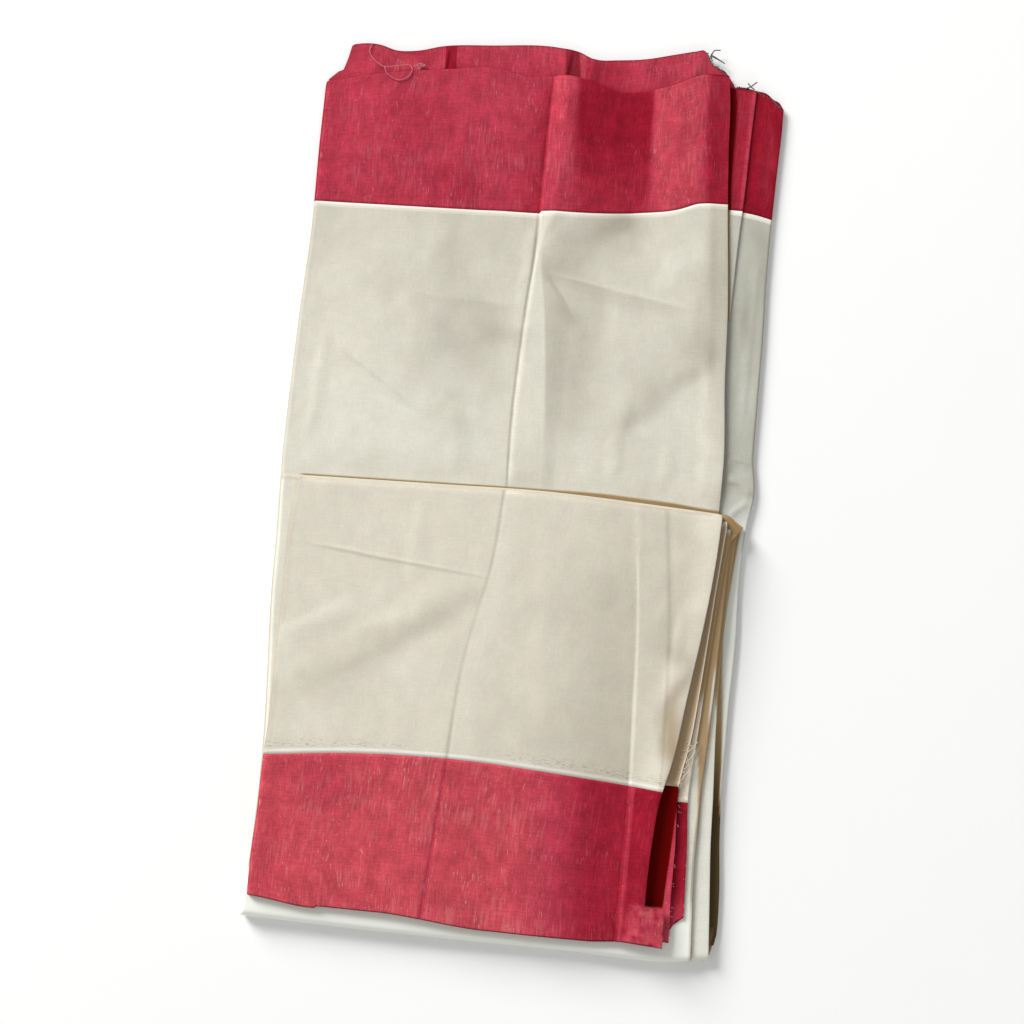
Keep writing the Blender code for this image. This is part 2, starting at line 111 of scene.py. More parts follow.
# Painted light: the creams that painted shading above 1 turns to, to lighten cloth that lies in shade
PAINTED_LIGHT_CREAM = (0.86, 0.88, 0.80)
PAINTED_LIGHT_WARM_CREAM = (0.95, 0.79, 0.58)
RED = (0.437, 0.040, 0.068)
RED_SHADE = (0.64, 0.22, 0.33)
RED_LIGHT = (1.2, 1.65, 1.3)
# Painted light on the red, for the corner that lies out of the shade
PAINTED_LIGHT_RED = (0.53, 0.115, 0.14)
# Painted deep shade on the red between the plies, and darker
GAP_SHADE_RED = (0.11, 0.0008, 0.0008)
DEEP_GAP_SHADE_RED = (0.05, 0.0008, 0.0008)
PINK_SLUB = (0.60, 0.20, 0.23)
GREY_DASH = (0.36, 0.33, 0.27)
LINE_WIDTH = 3.4
BORDER_WIDTH = 101.0
THREAD_PITCH = 0.62

# Where the cloth's measure starts on the sheets that don't reach a colour line
REAR_START = -30.0
TURNED_START = 40.0

WORLD_STRENGTH = 0.42
DAYLIGHT = (1.0, 0.995, 0.985)
WHITE_LIGHT = (1.0, 1.0, 1.0)
FLOOR_PALE = (0.92, 0.92, 0.92)
FLOOR_PALEST = (0.93, 0.93, 0.93)
FLOOR_HALF = 12.0
FLOOR_Z = -0.0002


def ease(value, start=0.0, width=1.0):
    """A smooth rise from 0 at start to 1 a width further on."""
    value = np.clip((value - start) / width, 0.0, 1.0)
    return value * value * (3.0 - 2.0 * value)


def curves(*rows):
    """A smooth function of the first column for each other column, level past its ends."""
    knots, *columns = np.array(rows, float).T

    def through(values):
        slopes = np.gradient(values, knots)

        def at(where):
            where = np.clip(where, knots[0], knots[-1])
            i = np.clip(np.searchsorted(knots, where) - 1, 0, len(knots) - 2)
            span = knots[i + 1] - knots[i]
            t = (where - knots[i]) / span
            rise = values[i + 1] - values[i]
            # The slopes are held back so that the curve doesn't swing past its points.
            limit = 3.0 * np.abs(rise) / span
            start = np.clip(slopes[i], -limit, limit)
            end = np.clip(slopes[i + 1], -limit, limit)
            bend = span * (start * t * (1.0 - t) ** 2 - end * t * t * (1.0 - t))
            return values[i] + rise * ease(t) + bend

        return at

    return [through(values) for values in columns]


def curve(*rows):
    return curves(*rows)[0]


# Outlines as rows of y, left x and right x. They are the part's own, apart from a few places that follow
# the photo more closely.
packet_left, packet_right = curves(
    (-284, -155, 158.5), (-267, -153, 162.5), (-240, -151.5, 162), (-201, -151, 159), (-164, -151.5, 158),
    (-119, -154, 158), (-71, -157, 159), (-28, -158, 158), (8, -159.5, 160), (28, -160, 163),
    (53, -160, 160), (131, -159, 160), (178, -157.5, 159), (252, -158.5, 160), (284, -158.5, 161),
    (299, -157, 161),
)
flap_left, flap_right = curves(
    (-277, -149, 112.7), (-250, -150, 112), (-211, -149, 113), (-181, -149, 116), (-155, -148, 122),
    (-112, -148, 128), (-70, -148, 134), (-24, -149, 139), (10, -146, 141),
)

# Right edges, as rows of y and x
front_right = curve(
    (-276, 145), (-100, 144), (13, 140), (48, 140), (105, 136), (151, 134), (222, 128), (265, 125),
    (301, 123), (318, 121),
)
strip_right = curve((147, 136), (192, 137), (240, 139), (280, 140), (310, 141))
turned_right = curve((-287, 146), (-269, 145), (-218, 143), (-180, 143), (-138, 145), (-76, 147), (10, 149))
turned_leaf_right = curve(
    (-284, 158), (-239, 155), (-209, 153), (-179, 152), (-134, 150), (-79, 149.5), (-34, 151), (3, 153),
)
leaf2_right = curve(
    (-273, 130), (-245, 129), (-213, 129), (-171, 128), (-142, 133), (-100, 137), (-46, 141), (3, 145),
)
leaf3_right = curve(
    (-262, 139), (-238, 138), (-212, 137), (-180, 135), (-133, 138), (-73, 142), (-46, 144), (0, 148),
)
# Where the painted deep shade ends on the wide leaf, and how far the painted shade on the turned sheet stands
# in from its edge
side_shade_edge = curve(
    (-262, 168), (-200, 161), (-179, 157), (-152, 155.9), (-125, 154.3), (-85, 150.9), (-60, 149.8),
    (-42, 151.7), (-17, 153.9), (3, 156),
)
turned_shade_gap = curve((-290, 0.8), (-185, 1.0), (-170, 2.4), (-156, 4.4), (-140, 8.0), (-100, 9.0))

# Folds, open edges and colour lines, as rows of x and y
bottom_fold = curve((-155, -284), (-104, -285), (-19, -286), (60, -286), (129, -287), (158, -283.5))
rear_edge = curve(
    (-157, 289.5), (-151, 295.5), (-145.5, 301.5), (-144.5, 306), (-144, 312.5), (-141.5, 316.5),
    (-124, 318), (-112, 315), (-98, 316), (-80, 321), (-45, 325), (0, 328), (16, 326), (26, 322), (44, 323),
    (62, 325.5), (83, 331), (97, 334.6), (102.6, 335.6), (104.6, 333.8), (108.6, 326.6), (113, 324.2),
    (118, 322), (125, 313),
)
side_edge = curve(
    (100, 312), (133, 312), (141, 310.4), (149, 308.6), (153, 305.4), (158, 302.8), (161, 298.5),
)
front_edge = curve(
    (-157, 287.5), (-118, 297), (-76, 304), (-39, 308), (-20, 304.5), (9, 307), (30, 304), (44, 300),
    (60, 301), (81, 307), (104, 317), (121, 318),
)
flap_edge = curve((-149, -269), (-108, -272), (-58, -272), (5, -277), (78, -277), (107, -275), (125, -277))
flap_fold = curve((-146, 10), (-50, 13), (19, 15), (93, 13), (141, 11))
leaf3_edge = curve((100, -270), (128, -270), (132, -262), (139, -256))
front_line = curve((-157, 202), (-98, 204), (-1, 209), (67, 215), (95, 220), (107, 225), (140, 227))
side_line = curve((110, 224), (148, 222), (162, 219))
flap_line = curve((-149, -177), (-95, -171), (-26, -168), (48, -171), (93, -174), (120, -176))


def jogged_line(x):
    """The front sheet's colour line, which jogs where the pressed crease crosses it."""
    return front_line(x) + (1.5 * ease(x, -1.5, 1.5) - 0.8) * (1.0 - ease(np.abs(x), 0.0, 34.0))


def whole_edge(x):
    """The lowest layers' open edge: the rear band, then the leaves on the right."""
    return np.where(x < REAR_END_X, rear_edge(x), side_edge(x))


def stepped_edge(x):
    """The flap's selvedge, with its small step."""
    return flap_edge(x) - 1.3 * (1.0 - ease(x, -104.0, 2.4)) * ease(x, -142.0, 30.0)


def moved(function, by):
    """The same edge, moved along the axis that it gives."""
    return lambda where: function(where) + by


def level(value):
    return lambda where: np.full_like(np.asarray(where, float), value)


def wander(seed, size, length):
    """A smooth irregular function of place, about size each way, that turns about once in length."""
    draw = np.random.default_rng(seed)
    waves = 2.0 * math.pi / (length * draw.uniform(0.5, 2.2, 5))
    phases = draw.uniform(0.0, 2.0 * math.pi, 5)
    parts = size * draw.uniform(0.3, 0.7, 5)
    return lambda where: (parts * np.sin(np.asarray(where, float)[..., None] * waves + phases)).sum(-1)


def crumple(seed, size, length, count=14):
    """A smooth irregular height over the sheet, from waves that run in many directions."""
    draw = np.random.default_rng(seed)
    turns = draw.uniform(0.0, math.pi, count)
    waves = 2.0 * math.pi / (length * draw.uniform(0.5, 2.5, count))
    phases = draw.uniform(0.0, 2.0 * math.pi, count)
    parts = size * draw.uniform(0.15, 0.45, count)

    def at(x, y):
        height = 0.0
        for turn, wave, phase, part in zip(turns, waves, phases, parts):
            height = height + part * np.sin(wave * (x * math.cos(turn) + y * math.sin(turn)) + phase)
        return height

    return at


# Small uneven shapes: broad and fine on the sheets, sway in creases and patches, speckle in the painted light
# of a corner
broad = crumple(11, 0.16, 60.0)
fine = crumple(12, 0.06, 17.0)
sway = crumple(14, 1.0, 26.0)
speckle = crumple(15, 0.5, 5.0)


# Creases and painted shading, which are functions of x and y. Painted shading is painted light above 0 and
# painted shade below it.


def total(*parts):
    return lambda x, y: sum(part(x, y) for part in parts)


def upright(*rows):
    """A ridge up the cloth. A row: y, where it starts, crests, leaves its crest and ends, and its height."""
    foot, crest, shoulder, toe, height = curves(*rows)

    def at(x, y):
        up = ease(x, foot(y), crest(y) - foot(y))
        down = ease(toe(y) - x, 0.0, toe(y) - shoulder(y))
        return height(y) * np.minimum(up, down)

    return at


def groove(*rows):
    """A narrow trough that runs up the cloth. A row: y, its middle, half width and depth."""
    middle, half, depth = curves(*rows)
    return lambda x, y: -depth(y) * (1.0 - ease(np.abs(x - middle(y)), 0.0, half(y)))


def straight(*rows, uneven=0.07):
    """Ridges that fade out at both ends. A row: x and y of each end, width on the left and right, height."""

    def at(x, y):
        height, swaying = 0.0, uneven * sway(x, y)
        for x_low, y_low, x_high, y_high, left, right, most in rows:
            length = math.hypot(x_high - x_low, y_high - y_low)
            way_x, way_y = (x_high - x_low) / length, (y_high - y_low) / length
            run = (x - x_low) * way_x + (y - y_low) * way_y
            aside = (x - x_low) * way_y - (y - y_low) * way_x
            width = np.where(aside < 0.0, left, right)
            crest = 1.0 - ease(np.abs(aside + width * swaying), 0.0, width)
            fade = 0.25 * length
            height = height + most * crest * ease(run, 0.0, fade) * ease(length - run, 0.0, fade)
        return height

    return at


def patches(*rows):
    """Places of painted light and shade, uneven in outline. A row: x and y of the middle, reach each way, and
    amount.
    """

    def at(x, y):
        tone, swaying, turning = 0.0, sway(x, y), sway(y + 90.0, x)
        for middle_x, middle_y, reach_x, reach_y, amount in rows:
            uneven = 0.2 * min(reach_x, reach_y)
            away_x = (x - middle_x + uneven * swaying) / reach_x
            away_y = (y - middle_y + uneven * turning) / reach_y
            tone = tone + amount * (1.0 - ease(np.hypot(away_x, away_y)))
        return tone

    return at


def near_left(x, y, edge, reach, amount):
    """Painted shading along a sheet's rolled left edge."""
    return amount * (1.0 - ease(x, edge(y), reach))


def past(x, edge, by, soft=1.5):
    """0 left of an edge moved by so much, and 1 right of it."""
    return ease(x, edge + by - 0.5 * soft, soft)


# The front sheet: its pressed step and fold, the wave and the swell beside them, and the crease's groove
front_relief = total(
    upright(
        (190, 0, 1.5, 4, 12, 0.0), (206, -1, 0.8, 5, 20, 0.9), (250, -1, 0.7, 6, 24, 1.0),
        (290, -0.6, 0.9, 7, 24, 0.9), (312, 0, 2.5, 7, 20, 0.6),
    ),
    upright(
        (12, -6, -0.5, 18.3, 27, 0.8), (60, -7.4, -2.1, 14.8, 27, 0.9), (109, -6.6, -1.4, 11, 28, 1.0),
        (145, -4.9, -0.2, 7.6, 26, 0.9), (172, -1.8, 0.4, 3, 20, 0.8), (190, -1, 3, 9, 34, 0.8),
        (213, -1, 12, 20, 64, 2.0), (262, -1, 11, 17, 60, 2.8), (318, 0, 11, 16, 58, 2.3),
    ),
    upright(
        (60, 88, 116, 124, 139, 0.0), (118, 82, 112, 122, 137, 0.5), (160, 74, 106, 118, 134, 1.2),
        (216, 66, 98, 108, 128, 1.9), (264, 66, 98, 108, 125, 2.0), (318, 68, 96, 106, 121, 1.7),
    ),
    upright(
        (20, -150, -96, -86, -16, 0.4), (60, -150, -96, -84, -14, 1.5), (110, -152, -98, -82, -14, 2.6),
        (160, -152, -100, -86, -20, 2.1), (196, -150, -104, -92, -30, 0.9),
        (260, -146, -110, -100, -60, 0.7), (310, -140, -112, -104, -70, 0.4),
    ),
    groove(
        (12, -4.8, 1.5, 0.4), (60, -6.2, 1.5, 0.45), (109, -5.5, 1.4, 0.45), (145, -3.9, 1.3, 0.4),
        (180, -1.9, 1.2, 0.35), (211, -1.6, 1.5, 0.5), (260, -1.4, 1.7, 0.6), (298, -0.7, 1.5, 0.5),
        (312, 0, 1.5, 0.1),
    ),
    straight(
        (34, 134, 7, 161, 1.8, 3.2, 0.35), (115, 150.5, 5, 168, 2.5, 4.0, 0.16),
        (-70, 61, -124, 100, 3.0, 5.0, 0.4), (52, 56, 128, 134, 17.0, 16.0, 0.5),
        (-6, 120, -3, 208, 8.0, 3.0, 0.5), (-128, 215, -122, 292, 9.0, 5.0, 0.5),
        (-62, 218, -58, 300, 6.0, 10.0, 0.5), (44, 218, 46, 296, 5.0, 7.0, 0.45),
        (90, 222, 91, 306, 4.0, 4.0, 0.35), (-145, 30, -138, 120, 5.0, 8.0, 0.5),
        (-40, 20, -48, 74, 8.0, 12.0, 0.5), (64, 20, 72, 96, 9.0, 6.0, 0.5),
        (96, 14, 104, 60, 6.0, 9.0, 0.4),
    ),
)
# The flap: its centre fold, its pleat, the slope between them, and the grooves of both
flap_relief = total(
    upright(
        (-277, -95, -36, -33, 24, 0.9), (-195, -92, -31, -28, 28, 0.9), (-129, -88, -27.6, -24.6, 32, 0.9),
        (-75, -80, -21, -18, 36, 0.8), (-34, -60, -11, -8, 36, 0.6), (14, -50, -9, -6, 34, 0.4),
    ),
    upright(
        (-277, 94.6, 97.0, 111, 116, 0.6), (-176, 94.6, 96.8, 113.4, 116.4, 0.6),
        (-75, 90.6, 92.6, 110.8, 114.4, 0.6), (12, 82.6, 84.6, 101.8, 105.4, 0.5),
    ),
    upright(
        (-277, 4, 40, 50, 90, 1.3), (-200, 4, 40, 50, 90, 1.3), (-150, 4, 38, 48, 86, 0.9),
        (-60, 4, 36, 46, 82, 0.5), (12, 4, 34, 44, 78, 0.3),
    ),
    groove(
        (-277, -34.4, 2.2, 0.5), (-195, -28.6, 2.0, 0.5), (-165, -26.8, 2.0, 0.3), (-129, -25, 2.0, 0.16),
        (-75, -17.6, 2.0, 0.08), (-34, -9.4, 2.0, 0.12), (12, -5.5, 2.0, 0.16),
    ),
    groove((-277, 94.4, 2.0, 0.3), (-180, 94.8, 1.8, 0.25), (-160, 94.2, 1.6, 0.1), (12, 82, 1.6, 0.05)),
    straight(
        (-133, -137, -26, -48, 16.0, 20.0, 0.8), (-148, -100, -96, -70, 9.0, 14.0, 0.5),
        (-133, -34, -20, -46, 2.6, 2.0, 0.3), (-60, 10, -64, -60, 10.0, 6.0, 0.4),
        (28, -30, 34, -140, 14.0, 12.0, 0.2), (64, -8, 60, -150, 12.0, 16.0, 0.06),
        (122, -40, 112, -150, 7.0, 5.0, 0.4), (-120, -186, -118, -262, 12.0, 8.0, 0.4),
        (-70, -182, -74, -268, 7.0, 12.0, 0.4), (10, -180, 6, -272, 10.0, 8.0, 0.4),
    ),
)
side_relief = straight(
    (138, 50, 160, 47, 1.4, 3.0, 1.0), (143, 40, 163, 27, 3.0, 5.0, 1.2), (146, 12, 160, 24, 3.0, 4.0, 0.6),
    (150, 60, 152, 200, 6.0, 4.0, 0.35), (147, 228, 149, 304, 4.0, 6.0, 0.4),
)
rear_relief = straight(
    (-78, 296, -75, 322, 5.0, 1.5, 0.8), (7, 296, 10, 330, 8.0, 2.0, 0.9),
    (24, 296, 26, 326, 1.5, 8.0, 0.9), (96, 300, 100, 336, 10.0, 6.0, 1.0),
    (-128, 290, -126, 318, 8.0, 8.0, 0.6), (-40, 296, -38, 326, 9.0, 12.0, 0.5),
    (62, 296, 60, 326, 10.0, 10.0, 0.4),
)
# Painted light and shade on the front: the pressed band's light, line and shade, then the margin on the
# right, and patches
front_painted_shading = total(
    upright(
        (12, -4.4, -3.2, 17, 18.6, -0.1), (60, -5.8, -4.6, 14.4, 15.8, 0.0),
        (109, -5, -3.8, 10.8, 12.2, 0.15), (145, -3.4, -2.4, 7.2, 8.6, 0.2),
        (172, -1.6, -0.8, 2.4, 3.6, 0.2), (192, -1, 0, 2, 4, 0.1),
    ),
    upright(
        (12, -6.8, -5.4, -4.8, -4.0, -0.7), (60, -8, -6.8, -6.1, -5.4, -0.7),
        (109, -7.2, -6, -5.3, -4.6, -0.6), (145, -5.6, -4.4, -3.7, -3, -0.45),
        (180, -3.2, -2.2, -1.6, -0.8, -0.5), (208, -3, -1.8, -0.8, 0, -0.3),
    ),
    upright(
        (12, 18.0, 18.6, 19.4, 24, -0.3), (40, 16.4, 17.6, 26, 46, -0.1), (73, 14.8, 16.2, 34, 58, -0.42),
        (110, 11.4, 12.8, 36, 62, -0.46), (140, 7.8, 9.4, 34, 60, -0.36), (158, 5, 6.6, 34, 58, -0.22),
        (170, 3, 4.6, 18, 46, -0.42), (182, 2, 5, 26, 56, -0.15), (206, 14, 34, 58, 67, -0.2),
    ),
    upright(
        (30, 130, 138, 139.5, 141, -0.2), (100, 122, 132, 137, 140, -0.32),
        (140, 108, 120, 134, 138, -0.42), (190, 110, 122, 131, 134, -0.45), (226, 112, 122, 128, 131, -0.3),
    ),
    straight(
        (4, 173, 36, 128, 1.2, 10.0, -0.3), (3, 166.5, 118, 148.5, 1.2, 15.0, -0.24),
        (3, 168.5, 119, 150.5, 1.6, 1.4, 0.16), (46, 46, 138, 142, 24.0, 22.0, -0.36),
        (-134, 104, -70, 62, 3.0, 1.6, -0.26), (-110, 73, -66, 60, 2.0, 4.0, 0.4),
        (-90, 143, 0, 141, 2.0, 9.0, -0.14),
        uneven=0.15,
    ),
    patches(
        (-46, 120, 54, 44, -0.33), (-24, 124, 26, 18, -0.22), (-24, 100, 20, 34, -0.16),
        (-58, 176, 16, 42, -0.28), (-30, 186, 26, 40, -0.2), (-50, 66, 22, 26, -0.2),
        (-74, 206, 60, 20, -0.14), (-108, 150, 26, 20, -0.14), (-140, 190, 40, 60, -0.1),
        (-104, 44, 70, 56, 0.4), (-50, 34, 50, 26, 0.25), (38, 34, 26, 22, 0.05), (86, 40, 40, 34, -0.12),
        (96, 184, 26, 32, 0.35), (76, 100, 34, 30, -0.1), (56, 203, 34, 22, -0.66),
        (34, 184, 40, 24, -0.24), (112, 126, 26, 28, -0.1),
    ),
)
# Painted light and shade on its red: the crease, the ridge, the valley, the wave's light and the margin
front_red_painted_shading = total(
    upright(
        (206, -24, -2.4, -0.9, 0, -0.5), (250, -22, -2.6, -0.8, 0.2, -0.5), (292, -16, -2, -0.4, 0.5, -0.4),
        (316, -8, -1, 0.4, 1, -0.1),
    ),
    upright((206, 0, 1.4, 14, 22, 0.1), (260, 0, 1.4, 11, 19, 0.15), (306, 0, 2, 11, 17, 0.15)),
    upright(
        (206, 16, 34, 66, 76, -0.45), (240, 15, 27, 69, 75, -0.75), (290, 14, 21, 69, 72, -0.95),
        (316, 15, 20, 66, 70, -0.9),
    ),
    upright((206, 72, 80, 110, 118, 0.35), (260, 72, 76, 100, 108, 0.5), (316, 69, 73, 102, 108, 0.45)),
    upright(
        (206, 114, 120, 127, 132, -0.7), (262, 106, 112, 124, 128, -0.75), (316, 104, 110, 121, 126, -0.6),
    ),
    patches(
        (-62, 224, 26, 20, -0.35), (-92, 264, 40, 30, -0.18), (-128, 250, 24, 60, 0.05),
        (-40, 284, 40, 26, 0.2), (14, 300, 20, 10, 0.2),
    ),
)
# Painted light and shade on the rear band: its notch, its light fold and the shade beside it
rear_painted_shading = total(
    upright((296, -76.2, -75.6, -69.4, -68, -1.5), (330, -78.4, -77.8, -71.4, -70, -1.5)),
    upright((298, 18.6, 19.4, 21.6, 22.4, 0.7), (330, 15.8, 16.6, 19, 20, 0.7)),
    upright((298, 21, 24, 34, 60, -0.45), (330, 19, 22, 34, 60, -0.45)),
    patches(
        (-108, 306, 24, 9, 0.4), (-100, 317, 24, 5, -0.4), (-30, 318, 26, 16, 0.2), (92, 324, 18, 14, 0.25),
        (118, 318, 9, 12, -0.5),
    ),
)
# Painted deep shade in the hollow beside the rear band's light fold
rear_deep_shade = upright((298, 8, 9.2, 19, 21, 0.6), (330, 5, 6.2, 14, 15.2, 0.6))
# Painted light and shade on the flap: the centre fold's line and light, then the pleat, the shade beside it
# and its right line
flap_painted_shading = total(
    upright(
        (-172, -29, -27.4, -26.6, -25.2, -0.6), (-129, -26.8, -25.6, -24.8, -23.4, -0.4),
        (-97, -23.6, -22.4, -21.6, -20.2, -0.2), (-70, -18.4, -17.2, -16.4, -15, -0.2),
        (-38, -12, -10.8, -10, -8.8, -0.4), (12, -8.2, -7.2, -6.6, -5.6, -0.4),
    ),
    upright(
        (-172, -25.6, -24.8, -20, -10, 0.2), (-129, -23.6, -22.6, -18, -8, 0.25),
        (-97, -20.2, -19.2, -14, -4, 0.3), (-38, -9, -8, -4, 6, 0.3), (12, -5.8, -4.8, 0, 10, 0.3),
    ),
    upright(
        (-177, 94.8, 95.4, 114.4, 115.0, -0.1), (-75, 91.2, 91.8, 111.6, 112.4, -0.2),
        (12, 83.2, 83.8, 102.6, 103.4, -0.2),
    ),
    upright(
        (-177, 6, 88, 94.2, 94.9, -0.62), (-120, 14, 86, 91.8, 92.5, -0.5), (-75, 20, 84, 90.6, 91.3, -0.4),
        (12, 34, 78, 82.6, 83.3, -0.16),
    ),
    upright(
        (-177, 113.0, 113.8, 114.4, 115.0, 0.6), (-150, 113.2, 113.8, 114.4, 115.0, 0.2),
        (-120, 113.0, 113.8, 114.4, 118.0, -0.15), (-75, 112.0, 112.8, 113.4, 118.0, -0.2),
        (12, 103.0, 103.8, 104.4, 109.0, -0.2),
    ),
    straight(
        (-154, -33.2, 4, -47.6, 1.4, 2.4, -0.32), (-154, -31.6, 4, -46.0, 3.0, 1.2, 0.14),
        (-168, -152, 6, -44, 15.0, 14.0, -0.34),
        uneven=0.15,
    ),
    patches(
        (-60, -112, 44, 24, 0.35), (-136, -100, 26, 46, 0.3), (-118, -158, 40, 20, 0.25),
        (-100, -76, 50, 24, 0.2), (-96, -16, 56, 24, 0.12), (20, -140, 56, 44, -0.18),
        (124, -120, 16, 60, -0.5), (121, -160, 10, 44, -0.9), (122, -44, 22, 100, -0.42),
        (44, -60, 60, 64, -0.14), (118, -112, 14, 44, -0.4), (-6, -60, 18, 26, 0.1), (8, -172, 60, 9, -0.2),
    ),
)
# Painted light and shade on its red: light on the left, which fades into a dark column, the strip past it,
# and two lines
flap_red_painted_shading = total(
    upright((-277, -200, -190, 30, 80, 0.9), (-170, -200, -190, 24, 74, 0.86)),
    upright((-277, 4, 58, 93.8, 96, -0.4), (-176, -6, 52, 94, 96.2, -0.4)),
    upright((-277, 30, 90, 93.8, 96, -0.46), (-176, 24, 86, 94, 96.2, -0.46)),
    upright((-277, 94, 96, 118, 126, -0.9), (-176, 94.4, 96.4, 122, 130, -1.0)),
    upright(
        (-277, -36.4, -35, -33.6, -32.2, -0.85), (-195, -30.4, -29.2, -27.8, -26.4, -0.85),
        (-168, -29, -27.6, -26.2, -24.8, -0.75),
    ),
    upright((-277, 95.6, 96.4, 97.8, 99.4, 0.6), (-176, 95.8, 96.6, 98, 99.6, 0.6)),
    patches(
        (-112, -192, 44, 22, -0.5), (-138, -244, 16, 50, -0.35), (-80, -236, 40, 30, 0.15),
        (6, -184, 50, 14, -0.2), (9, -258, 2.4, 2.0, -1.2),
    ),
)
# Painted light and shade in streaks on the wide leaf beside the front sheet.
side_painted_shading = total(
    upright(
        (13, 138.6, 139.4, 141.6, 143.4, -0.3), (48, 138.6, 139.4, 141.6, 143.4, -0.3),
        (105, 134.6, 135.4, 137.6, 139.4, -0.3), (151, 132.6, 133.4, 135.6, 137.4, -0.3),
        (222, 126.6, 127.4, 129.6, 131.4, -0.3), (318, 119.6, 120.4, 123.6, 125.4, -0.3),
    ),
    patches(
        (152, 92, 9, 34, 0.35), (147, 150, 6, 40, -0.45), (157, 180, 5, 44, -0.3), (152, 204, 8, 20, -0.35),
        (150, 49, 12, 2.6, -0.5), (148, 34, 8, 3.0, -0.4), (154, 42, 9, 8, 0.4), (156, -30, 6, 40, 0.35),
        (155, -100, 6, 30, 0.2),
    ),
)


def front_height(x, y):
    """Top of the upper front sheet, level where the turned-up half lies on it."""
    edge = front_right(y)
    rise = FRONT_RISE * ease(x, edge - 2.0 * STRIP_REACH, STRIP_REACH)
    lift = FRONT_LIFT * ease(x, edge - STRIP_REACH, STRIP_REACH)
    relief = front_relief(x, y) + np.abs(broad(x, y)) + np.abs(fine(x, y))
    return FRONT_TOP + ease(y, FRONT_SLOPE_Y, RIDGE_FADE) * (relief + rise + lift)


def flap_height(x, y):
    """Top of the flap, with its fold, its pressed pleat and its lifted right edge."""
    lift = FLAP_LIFT * ease(x, flap_right(y) - LIFT_WIDTH, LIFT_WIDTH) ** 2
    relief = flap_relief(x, y) + 0.55 * np.abs(broad(y, x)) + 0.7 * np.abs(fine(x + 40.0, y))
    return FLAP_TOP + lift + relief


def leaf_height(top, right, lift, sag):
    """Top of a loose leaf: it sags between the leaf above and its own edge, which curls up a little."""

    def at(x, y):
        near = ease(x, right(y) - LIFT_WIDTH, LIFT_WIDTH)
        curl = ease(x, right(y) - 4.0, 4.0)
        return top + lift * near**2 - sag * near + sag * 0.55 * curl + 0.5 * np.abs(fine(x, y))

    return at


def flat_height(top, roughness=0.6):
    return lambda x, y: top + roughness * (np.abs(fine(x, y)) + 0.5 * np.abs(broad(x, y)))


def side_height(x, y):
    return SIDE_TOP + side_relief(x, y) + 0.6 * np.abs(fine(x, y))


def rear_height(x, y):
    return REAR_TOP + ease(y, front_edge(x) - 4.0, 6.0) * rear_relief(x, y) + 0.5 * np.abs(fine(x, y))


def under_height(x, y):
    return UNDER_LIFT * (1.0 - ease(y, BASE_LOW + LIP, LIP_SLOPE))


# Sheets as grids of points


def spaced(*runs):
    """Places along a sheet, from runs that each give where they end and their spacing."""
    marks = [0.0]
    for end, step in runs:
        count = max(1, round((end - marks[-1]) / step))
        marks += list(np.linspace(marks[-1], end, count + 1)[1:])
    return np.array(marks)


def half_round(steps):
    """Angles from the lower end of a half circle to its upper end."""
    return math.pi * (np.arange(steps + 1) / steps - 0.5)


def rolled_edge(drop, radius=ROLL, curl=1.6, steps=7):
    """A sheet's edge that goes down round the layers: shift inward and drop, from its hidden end up."""
    angles = 0.5 * math.pi * np.arange(steps + 1) / steps
    around = [(radius * (1.0 - math.cos(a)), drop * (1.0 - math.sin(a))) for a in angles]
    return [(curl, drop + 0.25)] + around


def turned_edge(radius=TURN_RADIUS, reach=TURN_REACH, steps=6):
    """A sheet's folded edge, which goes back under the sheet."""
    around = [(radius * (1.0 - math.cos(a)), radius * (1.0 - math.sin(a))) for a in half_round(steps)]
    return [(reach, 2.0 * radius)] + around


def stations(marks, start=PLAIN_EDGE, end=PLAIN_EDGE):
    """Places across a sheet: fraction of the way, extra millimetres, and drop below the top."""
    inner_start, inner_end = start[-1][0], end[-1][0]
    places = [(0.0, shift, drop) for shift, drop in start[:-1]]
    places += [(f, inner_start * (1.0 - f) - inner_end * f, 0.0) for f in marks / marks[-1]]
    places += [(1.0, -shift, drop) for shift, drop in reversed(end[:-1])]
    return np.array(places).T


def bend_stations(marks, drop, end):
    """Places along a sheet that starts under the packet, goes round the bottom fold and on over the top."""
    places = [(0.0, LIP, drop), (0.0, 0.5 * (LIP + BEND), drop)]
    places += [(0.0, BEND * (1.0 - math.cos(a)), drop * (1.0 - math.sin(a)) / 2.0) for a in half_round(14)]
    places += [(f, BEND * (1.0 - f) - end[-1][0] * f, 0.0) for f in (marks / marks[-1])[1:]]
    places += [(1.0, -shift, low) for shift, low in reversed(end[:-1])]
    return np.array(places).T


def lattice(sides, ends, across, along, height, shift=None):
    """Points of a sheet, row by row, whose edges are the four curves given, and their x and y.

    sides are its left and right edges as functions of y, ends its low and high edges as functions of x.
    shift gives how far a place then moves in x and y.
    """
    left, right = sides
    low, high = ends
    fraction_x, extra_x, drop_x = across[:, None, :]
    fraction_y, extra_y, drop_y = along[:, :, None]
    full_drop = max(abs(drop_y).max(), 0.1)
    x = left(0.0) + fraction_x * (right(0.0) - left(0.0)) + 0.0 * fraction_y
    for _ in range(EDGE_ROUNDS):
        y = low(x) + extra_y + fraction_y * (high(x) - low(x))
        x = left(y) + extra_x + fraction_x * (right(y) - left(y))
    drop = drop_y + drop_x * (1.0 - drop_y / full_drop) ** 2
    if shift:
        more_x, more_y = shift(x, y)
        x, y = x + more_x, y + more_y
    return np.stack((x, y, height(x, y) - drop), -1), x, y


def measured(steps):
    return np.concatenate(([0.0], np.cumsum(steps)))


